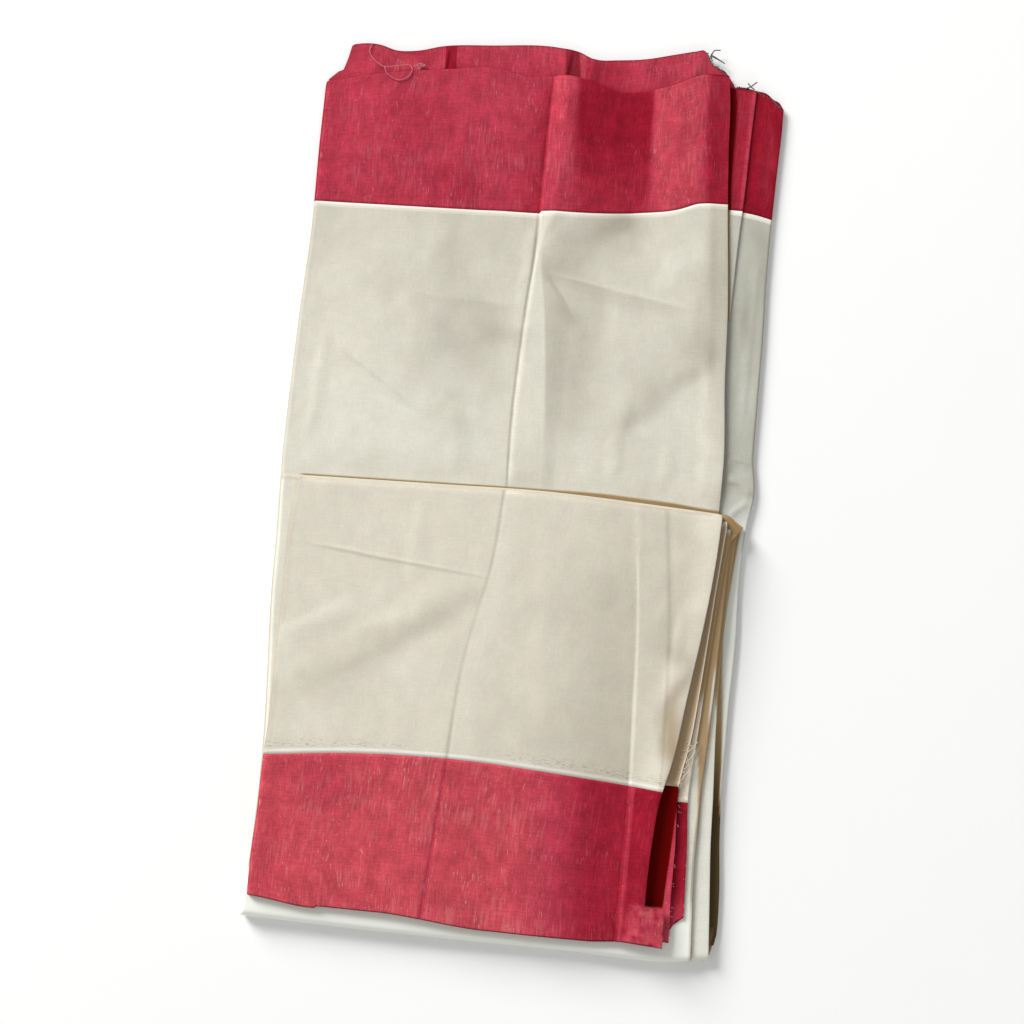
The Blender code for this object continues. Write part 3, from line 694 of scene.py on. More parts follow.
def threads(points, line_row):
    """The cloth's own measure at each point: along the row, and up from the row of the colour line."""
    u = measured(np.linalg.norm(np.diff(points, axis=1), axis=2).mean(0))
    v = measured(np.linalg.norm(np.diff(points, axis=0), axis=2).mean(1))
    return np.stack(np.meshgrid(u, v - v[line_row]), -1)


def add_object(name, data):
    made = bpy.data.objects.new(name, data)
    bpy.context.scene.collection.objects.link(made)
    return made


def finish_mesh(name, points, faces, uv, paint, material, nodes):
    """A smooth mesh object from millimetre points, with the cloth's measure as its UV map.

    paint holds values at the points: tone is painted light and shade, depth is painted deep shade,
    and rim is the way to the selvedge.
    """
    mesh = bpy.data.meshes.new(name)
    mesh.from_pydata(((points - (MIDDLE_X, MIDDLE_Y, 0.0)) * MM).tolist(), [], faces)
    layer = mesh.uv_layers.new(name="Cloth")
    corners = np.empty(len(mesh.loops), np.int64)
    mesh.loops.foreach_get("vertex_index", corners)
    layer.data.foreach_set("uv", (uv * MM)[corners].ravel())
    for label, usual in (("tone", 0.0), ("depth", 0.0), ("rim", BORDER_WIDTH)):
        values = np.empty(len(points), np.float32)
        values[:] = np.ravel(paint.get(label, usual))
        mesh.attributes.new(label, "FLOAT", "POINT").data.foreach_set("value", values)
    mesh.materials.append(material)
    mesh.shade_smooth()
    made = add_object(name, mesh)
    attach(made, "root")
    if nodes:
        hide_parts(*nodes)
    return made


def sheet(part, nodes, points, material, paint, way=-1.0, start=0.0, flip=False):
    """One stretch of cloth from a grid of points: a thin wall that stands for the named solids.

    way is 1 on the turned-up half and -1 below it. The cloth's measure runs from the colour line, which is
    the last row for cream below and for red on the turned-up half, and the first row for the others.
    """
    colour = "red" if material == red else "cream"
    uv = threads(points, -1 if (colour == "red") == (way > 0.0) else 0)
    uv[..., 1] = way * uv[..., 1] + start
    rows, columns = points.shape[:2]
    index = np.arange(rows * columns).reshape(rows, columns)
    faces = np.stack((index[:-1, :-1], index[:-1, 1:], index[1:, 1:], index[1:, :-1]), -1).reshape(-1, 4)
    faces = (faces[:, ::-1] if flip else faces).tolist()
    name, slot = f"{part}_{colour}", f"{colour}_cotton"
    made = finish_mesh(name, points.reshape(-1, 3), faces, uv.reshape(-1, 2), paint, material, nodes)
    wall = made.modifiers.new("Ply", "SOLIDIFY")
    wall.thickness = CLOTH * MM
    wall.offset = -1.0


# Materials


class Graph:
    """Short calls that add nodes to a material."""

    def __init__(self, name):
        self.material = bpy.data.materials.new(name)
        self.material.use_nodes = True
        self.tree = self.material.node_tree
        self.shader = self.tree.nodes["Principled BSDF"]

    def put(self, socket, value):
        if isinstance(value, bpy.types.NodeSocket):
            self.tree.links.new(value, socket)
        elif isinstance(value, tuple) and len(value) == 3 and len(socket.default_value) == 4:
            socket.default_value = (*value, 1.0)
        else:
            socket.default_value = value

    def add(self, kind, inputs, output=0, **settings):
        """A new node with its settings and inputs, and the output that is asked for."""
        node = self.tree.nodes.new("ShaderNode" + kind)
        for label, value in settings.items():
            setattr(node, label, value)
        for socket, value in inputs.items():
            self.put(node.inputs[socket], value)
        return node.outputs[output]

    def plus(self, first, second):
        return self.add("Math", {0: first, 1: second}, operation="ADD")

    def times(self, first, second):
        return self.add("Math", {0: first, 1: second}, operation="MULTIPLY")

    def between(self, value, low, high, start=0.0, end=1.0, kind="SMOOTHSTEP"):
        """value taken from start at low to end at high, and held past them."""
        inputs = dict(enumerate((value, low, high, start, end)))
        return self.add("MapRange", inputs, interpolation_type=kind)

    def blend(self, amount, first, second, kind="MIX"):
        return self.add("Mix", {"Factor": amount, 6: first, 7: second}, 2, data_type="RGBA", blend_type=kind)

    def tint(self, colour, by, amount=1.0):
        return self.blend(amount, colour, by, "MULTIPLY")

    def cloth_place(self):
        """The place on the cloth, and its two measures."""
        place = self.add("UVMap", {}, uv_map="Cloth")
        return place, *self.add("SeparateXYZ", {0: place}).node.outputs[:2]

    def noise(self, place, size_u, size_v, detail, seed):
        """Noise whose blots are about size_u by size_v millimetres."""
        scale = (1.0 / (size_u * MM), 1.0 / (size_v * MM), 1.0)
        spread = {0: place, 1: scale, 2: (seed, 0.37 * seed, seed)}
        spread = self.add("VectorMath", spread, operation="MULTIPLY_ADD")
        return self.add("TexNoise", {"Vector": spread, "Scale": 1.0, "Detail": detail})

    def crowded(self, value, place, size_u, size_v, seed, share):
        """value with more of it where a broad noise is high."""
        crowd = self.noise(place, size_u, size_v, 1.0, seed)
        return self.plus(value, self.times(self.plus(crowd, -0.5), share))

    def wave(self, place, pitch):
        """A sine along one measure of the cloth, from -1 to 1."""
        return self.add("Math", {0: self.times(place, 2.0 * math.pi / (pitch * MM))}, operation="SINE")

    def cloth(self, colour, height, specular=0.14, sheen=0.03):
        """The finished material of dull cotton."""
        bump = {"Strength": 0.3, "Distance": 0.16 * MM, "Height": height}
        surface = {"Base Color": colour, "Normal": self.add("Bump", bump), "Roughness": 0.9}
        surface |= {"Specular IOR Level": specular, "Sheen Weight": sheen, "Sheen Roughness": 0.55}
        for socket, value in surface.items():
            self.put(self.shader.inputs[socket], value)
        return self.material

    def weave(self, place, u, v):
        """Height of the plain weave, about 0 to 1, with its thick and thin threads each way."""
        checks = self.times(self.wave(u, THREAD_PITCH), self.wave(v, THREAD_PITCH))
        up = self.noise(place, 0.55, 14.0, 3.0, 3.0)
        over = self.noise(place, 14.0, 0.55, 3.0, 7.0)
        height = self.plus(self.times(checks, 0.16), self.times(up, 0.9))
        return self.plus(height, self.times(over, 0.7)), up, over

    def uneven(self, colour, place, mottles, low, high):
        """The colour with soft blots of each size, and light and dark streaks of uneven yarn both ways."""
        for size, dark, light, seed in mottles:
            blot = self.noise(place, size, 1.3 * size, 2.0, seed)
            colour = self.tint(colour, self.between(blot, 0.34, 0.66, dark, light, "LINEAR"))
        total = self.noise(place, 0.75, 15.0, 2.0, 3.0)
        for size_u, size_v, seed in ((15.0, 0.75, 7.0), (0.9, 4.0, 12.0), (4.0, 0.9, 16.0)):
            total = self.plus(total, self.noise(place, size_u, size_v, 2.0, seed))
        return self.tint(colour, self.between(total, 1.7, 2.3, low, high, "LINEAR"))

    def painted(self, colour, shade, light, painted_light, deep, deepest):
        """The colour with painted light and shade from tone, and painted deep shade from depth."""
        tone, depth = (self.add("Attribute", {}, "Fac", attribute_name=name) for name in ("tone", "depth"))
        for value, low, high, other, kind in (
            (tone, 0.0, -1.0, shade, "MULTIPLY"),
            (tone, 0.0, 1.0, light, "MULTIPLY"),
            (tone, 1.0, 2.0, painted_light, "MIX"),
            (depth, 0.0, 1.0, deep, "MIX"),
            (depth, 1.0, 2.0, deepest, "MIX"),
        ):
            colour = self.blend(self.between(value, low, high, kind="LINEAR"), colour, other, kind)
        return colour


def scaled(colour, by):
    return tuple(by * part for part in colour)


def cream_cloth(name, base, painted_light=PAINTED_LIGHT_CREAM, dashes=0.0):
    """Cream cotton, with the white line where it meets the red."""
    graph = Graph(name)
    between, noise, times = graph.between, graph.noise, graph.times
    place, u, v = graph.cloth_place()
    height, up, over = graph.weave(place, u, v)
    hue = between(noise(place, 15.0, 21.0, 2.0, 27.0), 0.38, 0.62)
    colour = graph.blend(hue, base, tuple(a * b for a, b in zip(base, (1.0, 0.982, 0.985))))
    mottles = ((44.0, 0.982, 1.018, 21.0), (12.0, 0.975, 1.025, 33.0))
    colour = graph.uneven(colour, place, mottles, 0.955, 1.04)
    flecks = between(noise(place, 0.9, 1.4, 1.0, 51.0), 0.72, 0.80)
    flecks = times(flecks, between(noise(place, 14.0, 17.0, 1.0, 53.0), 0.56, 0.62))
    colour = graph.blend(flecks, colour, scaled(base, 0.5))
    if dashes:
        # Short grey stitches in a band beside the white line
        low = between(v, (LINE_WIDTH + 0.5) * MM, (LINE_WIDTH + 1.5) * MM)
        high = between(v, (LINE_WIDTH + 10.0) * MM, (LINE_WIDTH + 2.0) * MM)
        crammed = between(noise(place, 4.5, 0.6, 2.0, 61.0), 0.53, 0.62)
        patch = between(noise(place, 60.0, 40.0, 1.0, 63.0), 0.38, 0.52)
        amount = times(times(low, high), times(crammed, patch))
        colour = graph.blend(times(amount, dashes), colour, GREY_DASH)
    ragged = graph.plus(v, times(graph.plus(up, -0.5), 1.6 * MM))
    edge = between(ragged, (LINE_WIDTH + 0.5) * MM, (LINE_WIDTH - 0.6) * MM)
    white = graph.blend(between(over, 0.4, 0.7, 0.0, 0.5), WHITE_LINE, scaled(WHITE_LINE, 0.84))
    colour = graph.blend(edge, colour, white)
    return graph.cloth(graph.painted(colour, CREAM_SHADE, CREAM_LIGHT, painted_light, SHADE_BROWN, DEEP_SHADE_BROWN), height)


def red_cloth(name, base):
    """Red cotton with pale ticks of weft, and an uneven selvedge."""
    graph = Graph(name)
    between, noise = graph.between, graph.noise
    place, u, v = graph.cloth_place()
    height = graph.weave(place, u, v)[0]
    mottles = ((40.0, 0.94, 1.06, 21.0), (9.0, 0.87, 1.12, 33.0))
    colour = graph.uneven(base, place, mottles, 0.84, 1.15)
    bleached = graph.crowded(noise(place, 1.6, 16.0, 2.0, 37.0), place, 26.0, 34.0, 39.0, 0.4)
    ticks = graph.crowded(noise(place, 0.8, 6.0, 1.0, 71.0), place, 12.0, 30.0, 73.0, 0.5)
    bright = noise(place, 1.1, 3.6, 1.0, 75.0)
    rim = graph.add("Attribute", {}, "Fac", attribute_name="rim")
    beads = between(noise(place, 1.1, 1.6, 1.0, 81.0), 0.66, 0.74)
    for amount, other in (
        (between(bleached, 0.5, 0.78, 0.0, 0.22), PINK_SLUB),
        (between(ticks, 0.68, 0.80, 0.0, 0.55), PINK_SLUB),
        (between(bright, 0.74, 0.82, 0.0, 0.65), scaled(PINK_SLUB, 1.35)),
        (between(rim, 1.3, 0.3, 0.0, 0.8), scaled(base, 0.35)),
        (graph.times(beads, between(rim, 4.5, 2.5, 0.0, 0.5)), PINK_SLUB),
    ):
        colour = graph.blend(amount, colour, other)
    colour = graph.painted(colour, RED_SHADE, RED_LIGHT, PAINTED_LIGHT_RED, GAP_SHADE_RED, DEEP_GAP_SHADE_RED)
    return graph.cloth(colour, height, 0.03, 0.0)


def yarn_material(name, colour):
    """Loose yarn, with its twist as bump."""
    graph = Graph(name)
    place, u, v = graph.cloth_place()
    colour = graph.blend(graph.noise(place, 1.0, 1.0, 2.0, 5.0), colour, scaled(colour, 0.7))
    return graph.cloth(colour, graph.wave(graph.plus(u, v), 0.5))


cream = cream_cloth("Cream cotton", CREAM)
warm_cream = cream_cloth("Flap cream cotton", WARM_CREAM, PAINTED_LIGHT_WARM_CREAM, dashes=0.75)
shaded_cream = cream_cloth("Shaded cream cotton", SHADED_CREAM)
red = red_cloth("Red cotton", RED)
pale_yarn = yarn_material("Pale yarn", (0.66, 0.24, 0.28))
cream_yarn = yarn_material("Cream yarn", (0.72, 0.64, 0.50))
dark_yarn = yarn_material("Dark yarn", (0.13, 0.14, 0.12))


# Sheets that show


def underside():
    """The lowest ply, flat on the surface, with its edges folded up at the sides."""
    rise = [(shift, -drop) for shift, drop in turned_edge(reach=5.0)]
    sides = (packet_left, packet_right)
    across = stations(spaced((300.0, 10.0)), rise, rise)
    along = stations(spaced((6.0, 2.0), (20.0, 2.0), (480.0, 10.0)))
    points = lattice(sides, (level(BASE_LOW), front_line), across, along, under_height)[0]
    sheet("underside", [], points, cream, {}, flip=True)
    across = stations(spaced((300.0, 4.0)), rise, rise)
    along = stations(spaced((80.0, 8.0), (108.0, 2.5)))
    points, x, y = lattice(sides, (front_line, whole_edge), across, along, under_height)
    sheet("underside", [], points, red, {"rim": whole_edge(x) - y}, flip=True)


def front_sheet():
    """The upper front sheet: rolled down round the fold on the left, folded under on the right."""
    marks = spaced((4.0, 1.0), (138.0, 2.5), (186.0, 0.85), (262.0, 2.2), (282.0, 1.5))
    across = stations(marks, rolled_edge(FRONT_TOP - FRONT_ROLL_LOW), turned_edge())
    sides = (packet_left, front_right)
    runs = ((262.0, 16.0), (297.0, 0.7), (328.0, 2.0), (380.0, 1.4), (402.0, 2.0), (444.0, 1.0), (480.0, 2.0))
    ends = (level(BASE_LOW), jogged_line)
    points, x, y = lattice(sides, ends, across, stations(spaced(*runs)), front_height)
    # Painted shade, darker towards the top and along the rolled left edge
    tone = front_painted_shading(x, y) - 0.22 * ease(y, 40.0, 160.0)
    tone += near_left(x, y, packet_left, 6.0, -0.25) + near_left(x, y, packet_left, 2.0, -0.7)
    # The gap below the flap's top fold is painted shade in brown, widest towards the right, and dark on the
    # left.
    gap = 1.9 + 1.9 * ease(x, 10.0, 60.0) - 1.0 * ease(x, 104.0, 30.0)
    depth = 1.35 - 0.17 * ease(x, -60.0, 120.0) + 0.12 * ease(x, 84.0, 30.0)
    depth *= (1.0 - ease(y - flap_fold(x), gap, 1.3)) * ease(y - flap_fold(x), -16.0, 4.0)
    depth *= past(x, flap_left(flap_fold(x)), 1.2, 1.6)
    paint = {"tone": tone, "depth": depth}
    sheet("front", ["front_field"], points, cream, paint)
    along = stations(spaced((97.0, 2.1), (99.0, 1.0)))
    points, x, y = lattice(sides, (jogged_line, front_edge), across, along, front_height)
    # Painted shade along the rolled left edge and darker at the top edge, with painted deep shade at the far
    # left
    tone = front_red_painted_shading(x, y) + near_left(x, y, packet_left, 1.8, -1.2) - 0.1
    tone -= 0.55 * ease(y - front_edge(x), -0.9, 0.7)
    rim = front_edge(x) - y + 1.2 * (1.0 - ease(x, 98.0, 14.0))
    paint = {"tone": tone, "depth": near_left(x, y, packet_left, 1.4, 0.6), "rim": rim}
    sheet("front", ["front_border"], points, red, paint)


def rear_band():
    """The red edge of a rear layer, which reaches past the front sheet's and waves."""

    def left(y):
        return packet_left(y) + 1.5 * (1.0 - ease(y, REAR_CORNER_Y, REAR_CORNER_RUN))

    runs = ((16.0, 1.1), (72.0, 2.3), (92.0, 0.7), (156.0, 2.3), (186.0, 0.9), (256.0, 2.3), (282.0, 0.8))
    across, along = stations(spaced(*runs)), stations(spaced((40.0, 8.0), (64.0, 1.6), (66.0, 0.8)))
    ends = (moved(rear_edge, -66.0), rear_edge)
    points, x, y = lattice((left, level(REAR_END_X)), ends, across, along, rear_height)
    # Painted shadow where the front sheet's edge lies over it, and painted deep shade in the patch
    tone = rear_painted_shading(x, y) - 0.12 - 0.2 * (1.0 - ease(y - front_edge(x), 0.4, 1.6))
    paint = {"tone": tone, "depth": rear_deep_shade(x, y), "rim": rear_edge(x) - y}
    sheet("rear", ["rear_border"], points, red, paint, start=REAR_START)


def side_leaves():
    """The wide leaf and the narrow leaf that show to the right of the front sheet."""
    inner = moved(packet_right, -46.0)

    def beside_rear_band(y):
        return inner(y) + 12.0 * ease(y, 226.0, 10.0)

    across = stations(spaced((20.0, 4.0), (46.0, 0.9)), PLAIN_EDGE, turned_edge())
    along = stations(spaced((272.0, 7.0), (495.0, 2.2)))
    points, x, y = lattice((inner, packet_right), (level(BASE_LOW), side_line), across, along, side_height)
    # Painted deep shade beside the turned-up half, painted light on its lower part, and painted shade at its
    # right edge.
    beside = ease(-y, -5.0, 4.0) * (1.0 - past(x, side_shade_edge(y), 0.0, 1.4))
    tone = side_painted_shading(x, y) + 1.9 - 2.15 * ease(y, -6.0, 40.0) - past(x, packet_right(y), -1.1, 0.8)
    paint = {"tone": tone, "depth": (0.95 + 0.95 * ease(-y, 120.0, 70.0)) * beside}
    sheet("side", ["side_field"], points, shaded_cream, paint)
    along = stations(spaced((84.0, 2.2), (86.0, 1.0)))
    sides = (beside_rear_band, packet_right)
    points, x, y = lattice(sides, (side_line, side_edge), across, along, side_height)
    # Painted shade over its red, deeper at the right edge
    depth = 0.14 + 0.3 * past(x, packet_right(y), -1.1, 0.8) + patches((155, 262, 8, 50, -0.1))(x, y)
    paint = {"tone": patches((153, 262, 8, 44, 0.3))(x, y) - 1.0, "depth": depth, "rim": side_edge(x) - y}
    sheet("side", ["side_border"], points, red, paint)
    across = stations(spaced((8.0, 2.0), (20.0, 0.9)), PLAIN_EDGE, turned_edge())
    sides = (moved(front_right, -STRIP_REACH), strip_right)
    ends = (level(STRIP_LOW_Y), level(STRIP_LINE_Y))
    points, x, y = lattice(sides, ends, across, stations(spaced((76.0, 2.4))), flat_height(STRIP_TOP))
    # Painted shadow of the front sheet's edge on the narrow leaf
    paint = {"tone": 0.1, "depth": 1.3 * (1.0 - past(x, front_right(y), 1.5, 1.2))}
    sheet("strip", ["strip_field"], points, shaded_cream, paint)
    ends = (level(STRIP_LINE_Y), level(STRIP_HIGH_Y))
    points, x, y = lattice(sides, ends, across, along, flat_height(STRIP_TOP))
    # Painted shadow of the front sheet's edge, and painted shade on the red that lightens at the right edge
    depth = 1.1 * (1.0 - past(x, front_right(y), 2.4 + 2.6 * ease(y, 230.0, 60.0), 1.4))
    paint = {"tone": 0.7 * past(x, strip_right(y), -2.6) - 0.7, "depth": depth, "rim": STRIP_HIGH_Y - y}
    sheet("strip", ["strip_border"], points, red, paint)


def bent_sheet(sides, high, across, runs, top, roll):
    """A sheet that comes from under the packet and round the bottom fold, above the surface all the way."""
    along = bend_stations(spaced(*runs), top, roll)
    points, x, y = lattice(sides, (bottom_fold, high), across, along, flat_height(top, 0.9))
    points[..., 2] = np.maximum(points[..., 2], LIP_LOW)
    return points, x, y


def turned_sheets():
    """The turned-up half's top sheet, and the pale leaf beside it."""

    def left(y):
        return packet_left(np.maximum(y, -267.0)) - 0.2 + TURNED_LEFT_IN * ease(y, -268.0, 24.0)

    def corner_right(y):
        """The right edge, whose top corner points out past the leaves."""
        return turned_right(y) + 8.0 * ease(y, -8.0, 14.0)

    def corner_high(x):
        return flap_fold(x) + 1.5 - 8.0 * ease(x, 144.0, 14.0)

    def leaf_inner(y):
        return turned_right(y) - 8.0 * ease(y, -274.0, 6.0) + 0.3

    marks = spaced((4.0, 1.0), (252.0, 6.0), (284.0, 1.6), (294.0, 0.8))
    across = stations(marks, rolled_edge(TURNED_TOP - FRONT_TOP - 0.6), turned_edge())
    roll = rolled_edge(TURNED_TOP - FRONT_TOP - 0.5, 5.0)
    runs = ((24.0, 2.4), (266.0, 6.0), (290.0, 1.6))
    points, x, y = bent_sheet((left, corner_right), corner_high, across, runs, TURNED_TOP, roll)
    # Painted deep shade right of the leaves and in the wedge by the flap's corner, painted light low down,
    # and painted shade along the right edge, the top fold and the rolled left edge
    depth = 0.95 * past(x, np.maximum(leaf3_right(y) - 1.5, turned_right(y) - turned_shade_gap(y)), 0.0, 1.0)
    thin_edge = ease(y, -134.0, 20.0) * ease(-y, 86.0, 14.0)
    depth *= 1.0 - thin_edge * past(x, turned_right(y), -1.6, 0.8)
    depth = np.maximum(depth, 1.28 * ease(y, -4.0, 4.0) * past(x, flap_right(y), -1.0))
    low = ease(-y, 180.0, 34.0)
    tone = 0.1 + 1.9 * ease(-y, 236.0, 26.0) - 0.5 * ease(-y, 283.0, 2.5)
    tone -= 1.6 * low * past(x, turned_right(y), -1.6, 1.0) + 0.7 * ease(y - flap_fold(x), -4.0, 2.4)
    tone += near_left(x, y, left, 2.0, -0.6)
    paint = {"tone": tone, "depth": depth * (1.0 - 0.9 * low)}
    sheet("turned", ["turned_field"], points, cream, paint, 1.0, TURNED_START)
    across = stations(spaced((12.0, 1.0)), PLAIN_EDGE, turned_edge(reach=4.0))
    roll = rolled_edge(TURNED_LEAF_TOP - FRONT_TOP + 0.6)
    runs = ((24.0, 2.4), (274.0, 5.0), (288.0, 1.6))
    sides = (leaf_inner, turned_leaf_right)
    points, x, y = bent_sheet(sides, level(TURNED_LEAF_HIGH), across, runs, TURNED_LEAF_TOP, roll)
    # Painted deep shade in brown above, then painted light from the inner edge outwards, with painted shade
    # along the inner edge
    depth = 0.95 * past(x, turned_right(y) + 6.5 * ease(-y, 100.0, 36.0), 0.0) * ease(y, -150.0, 20.0)
    inner_line = 1.0 - past(x, turned_right(y), 0.9, 1.0)
    depth = np.maximum(depth, 0.75 * inner_line * ease(y, -225.0, 30.0))
    tone = 0.2 + 0.5 * ease(-y, 150.0, 30.0) - 0.5 * ease(-y, 282.0, 2.5)
    tone -= 1.1 * inner_line * ease(-y, 190.0, 30.0)
    paint = {"tone": tone, "depth": depth}
    sheet("turned_leaf", ["turned_leaf"], points, cream, paint, 1.0, TURNED_START)


def flare(x, y):
    """The flap's bottom corner, which reaches out past the edge above it."""
    corner = ease(x, 97.0, 15.0)
    return 13.0 * ease(-y, -FLARE_TOP, 1.6) * corner, -1.2 * ease(-y, 262.0, 12.0) * corner


def flap_sheet():
    """The flap's top sheet: rolled down on the left and over the top fold, folded under on the right."""
    marks = spaced((112.0, 2.5), (146.0, 1.0), (226.0, 2.3), (276.0, 0.6))
    across = stations(marks, rolled_edge(FLAP_TOP - TURNED_TOP - 0.75), turned_edge())
    sides = (flap_left, flap_right)
    roll = rolled_edge(FLAP_TOP - FRONT_TOP - 0.5, 3.6)
    along = stations(spaced((116.0, 2.2), (150.0, 0.8), (184.0, 2.2)), PLAIN_EDGE, roll)
    points, x, y = lattice(sides, (flap_line, flap_fold), across, along, flap_height)
    # Painted shade along the rolled left edge and over the top fold's roll, and painted deep shade right of
    # the pleat
    tone = flap_painted_shading(x, y) + near_left(x, y, flap_left, 4.4, -0.95)
    tone -= 0.62 * ease(y - flap_fold(x), -4.0, 2.4)
    paint = {"tone": tone, "depth": patches((122, -142, 11, 60, 0.42))(x, y)}
    sheet("flap", ["flap_field"], points, warm_cream, paint, 1.0)
    along = stations(spaced((2.0, 1.0), (22.0, 2.2), (30.0, 0.7), (99.0, 2.2)))
    points, x, y = lattice(sides, (stepped_edge, flap_line), across, along, flap_height, flare)
    # Painted light: the corner that reaches out is paler and speckled, lying flat out of the shade of the
    # edge above.
    painted_light = ease(x - 0.2 * (y + 250.0), 98.0, 13.0) * ease(-y, -FLARE_TOP - 1.0, 2.0)
    tone = np.clip(flap_red_painted_shading(x, y), -1.0, 1.0) * (1.0 - painted_light) + (0.3 + speckle(x, y)) * painted_light
    paint = {"tone": tone, "depth": near_left(x, y, flap_left, 1.4, 0.55), "rim": y - stepped_edge(x)}
    sheet("flap", ["flap_border"], points, red, paint, 1.0)


def loose_leaves():
    """The two leaves that fan out to the right below the flap's top sheet."""
    across = stations(spaced((14.0, 2.6), (36.0, 0.8)), PLAIN_EDGE, turned_edge())
    field_along = stations(spaced((176.0, 2.4)), PLAIN_EDGE, rolled_edge(LEAF_ROLL_DROP))
    border_along = stations(spaced((2.0, 1.0), (98.0, 2.0)))
    for label, right, top, lift, sag, line_by, high_y, edge, lit_edge_light, gap_shade in (
        ("leaf2", leaf2_right, LEAF2_TOP, 1.8, 1.3, 4.5, 7.0, level(LEAF2_LOW_Y), 1.6, 0.84),
        ("leaf3", leaf3_right, LEAF3_TOP, 0.5, 0.6, -5.5, 3.0, leaf3_edge, 0.9, 0.98),
    ):
        height = leaf_height(top, right, lift, sag)
        sides, line = (level(LEAF_INNER_X), right), moved(flap_line, line_by)
        points, x, y = lattice(sides, (line, level(high_y)), across, field_along, height)
        # Painted deep shade below the edge of the leaf above, darker towards the top, and a painted highlight
        # along the leaf's edge
        if label == "leaf2":
            lit_edge = past(x, right(y), -1.1, 0.5)
        else:
            lit_edge = ease(-y, 104.0, 16.0) * past(x, leaf2_right(y), 1.0, 0.8)
        lit_edge = np.maximum(lit_edge, ease(y, high_y - 4.0, 2.0) * past(x, right(y), -4.0, 2.0))
        tone = 0.4 - 0.7 * ease(y, -130.0, 50.0) + lit_edge_light * lit_edge
        paint = {"tone": tone, "depth": gap_shade - (gap_shade - 0.1) * lit_edge}
        nodes, rests_on = [f"{label}_field"], ["turned_field"]
        sheet(label, nodes, points, warm_cream, paint, 1.0)
        points, x, y = lattice(sides, (edge, line), across, border_along, height)
        if label == "leaf2":
            # The deepest painted shade ends at a slanted line.
            depth = (1.0 - past(x, 128.4 + (y + 173.0) * 0.054, 0.0, 0.8)) * ease(y, -251.6, 1.4)
            tone = -0.1 + 0.7 * ease(-y, 246.0, 8.0)
        else:
            # Painted deep shade beside the leaf above, and painted shade over the red
            depth = 0.9 * (1.0 - past(x, leaf2_right(y), 1.0, 1.2)) * ease(y, -250.0, 20.0)
            tone = -1.0 + 0.6 * ease(-y, 238.0, 18.0)
        paint = {"tone": tone, "depth": depth, "rim": y - edge(x)}
        sheet(label, [f"{label}_border"], points, red, paint, 1.0)


# Edges of the hidden plies


def folded_section(thick, reach):
    """A folded ply seen from its end: round outside, open behind."""
    half = thick / 2.0
    around = [(half * (1.0 - math.cos(a)), half * math.sin(a)) for a in half_round(6)]
    return [(reach, -half)] + around + [(reach, half)]


def bar(line, inward, up, section, turned):
    """Points of a closed bar along a line: section gives how far in and how far up each of its corners is."""
    ins, ups = np.array(section, float).T[..., None]
    grid = line[:, None] + ins * np.atleast_2d(inward)[:, None] + ups * np.atleast_2d(up)[:, None]
    return grid[:, ::-1] if turned else grid


def bars_object(name, bars, material, nodes, line_y, shade=0.0, depth=None):
    """All the bars of one colour as one object, darker by painted shade, and with painted deep shade where
    that is given.
    """
    points, faces, uvs = [], [], []
    start = 0
    for grid in bars:
        rows, columns = grid.shape[:2]
        points.append(grid.reshape(-1, 3))
        index = start + np.arange(rows * columns).reshape(rows, columns)
        after = np.roll(index, -1, 1)
        faces += np.stack((index[:-1], after[:-1], after[1:], index[1:]), -1).reshape(-1, 4).tolist()
        faces += [index[0][::-1].tolist(), index[-1].tolist()]
        around = measured(np.linalg.norm(np.diff(grid, axis=1), axis=2).mean(0))
        along = grid[..., 1] if np.ptp(grid[:, 0, 1]) > np.ptp(grid[:, 0, 0]) else grid[..., 0]
        away = np.abs(along - line_y) + 0.01 * start
        uvs.append(np.stack((around[None] + 0.0 * away, away), -1).reshape(-1, 2))
        start += rows * columns
    points = np.concatenate(points)
    paint = {"tone": shade, "depth": depth(points[:, 0], points[:, 1]) if depth else 0.0}
    finish_mesh(name, points, faces, np.concatenate(uvs), paint, material, nodes)


def side_bar(side, edge, y, z, seed, ragged=0.5, reach=PLY_REACH):
    """A folded ply's edge that runs up the packet's side."""
    x = edge(y) - side * (ragged + wander(seed, ragged * 0.5, 70.0)(y))
    line = np.stack((x, y, z + wander(seed + 500, 0.04, 50.0)(y)), -1)
    return bar(line, (-side, 0.0, 0.0), (0.0, 0.0, 1.0), folded_section(PLY_THICKNESS, reach), side > 0)


def bend_bar(side, edges, low_z, high_z, ends_y, seed, ragged=0.5, gap=1.0, thick=PLY_THICKNESS):
    """A folded ply's edge that comes along the base, goes round the bottom fold and on up the turned half."""
    base_edge, turned_x = edges
    half = 0.5 * (high_z - low_z)
    reach_y = min(BEND + 1.0, half + 1.0)
    fold_y = float(bottom_fold(base_edge(BASE_LOW))) + gap + reach_y
    angles = half_round(12)[1:-1]
    base_y = np.arange(ends_y[0], fold_y, -BAR_STEP)
    turned_y = np.arange(ends_y[1], fold_y, -BAR_STEP)[::-1]
    # How far round the fold each point is, from 0 on the base to 1 on the turned half
    share = np.concatenate((0.0 * base_y, 0.5 + 0.5 * np.sin(angles), 0.0 * turned_y + 1.0))
    y = np.concatenate((base_y, fold_y - reach_y * np.cos(angles), turned_y))
    x = (1.0 - share) * base_edge(y) + share * turned_x(y)
    x -= side * (ragged + wander(seed, ragged * 0.5, 70.0)(y + 300.0 * share))
    line = np.stack((x, y, low_z + (high_z - low_z) * share), -1)
    tangent = np.gradient(line[:, 1:], axis=0)
    tangent /= np.linalg.norm(tangent, axis=1)[:, None]
    up = np.stack((0.0 * y, tangent[:, 1], -tangent[:, 0]), -1)
    return bar(line, (-side, 0.0, 0.0), up, folded_section(thick, PLY_REACH), side < 0)


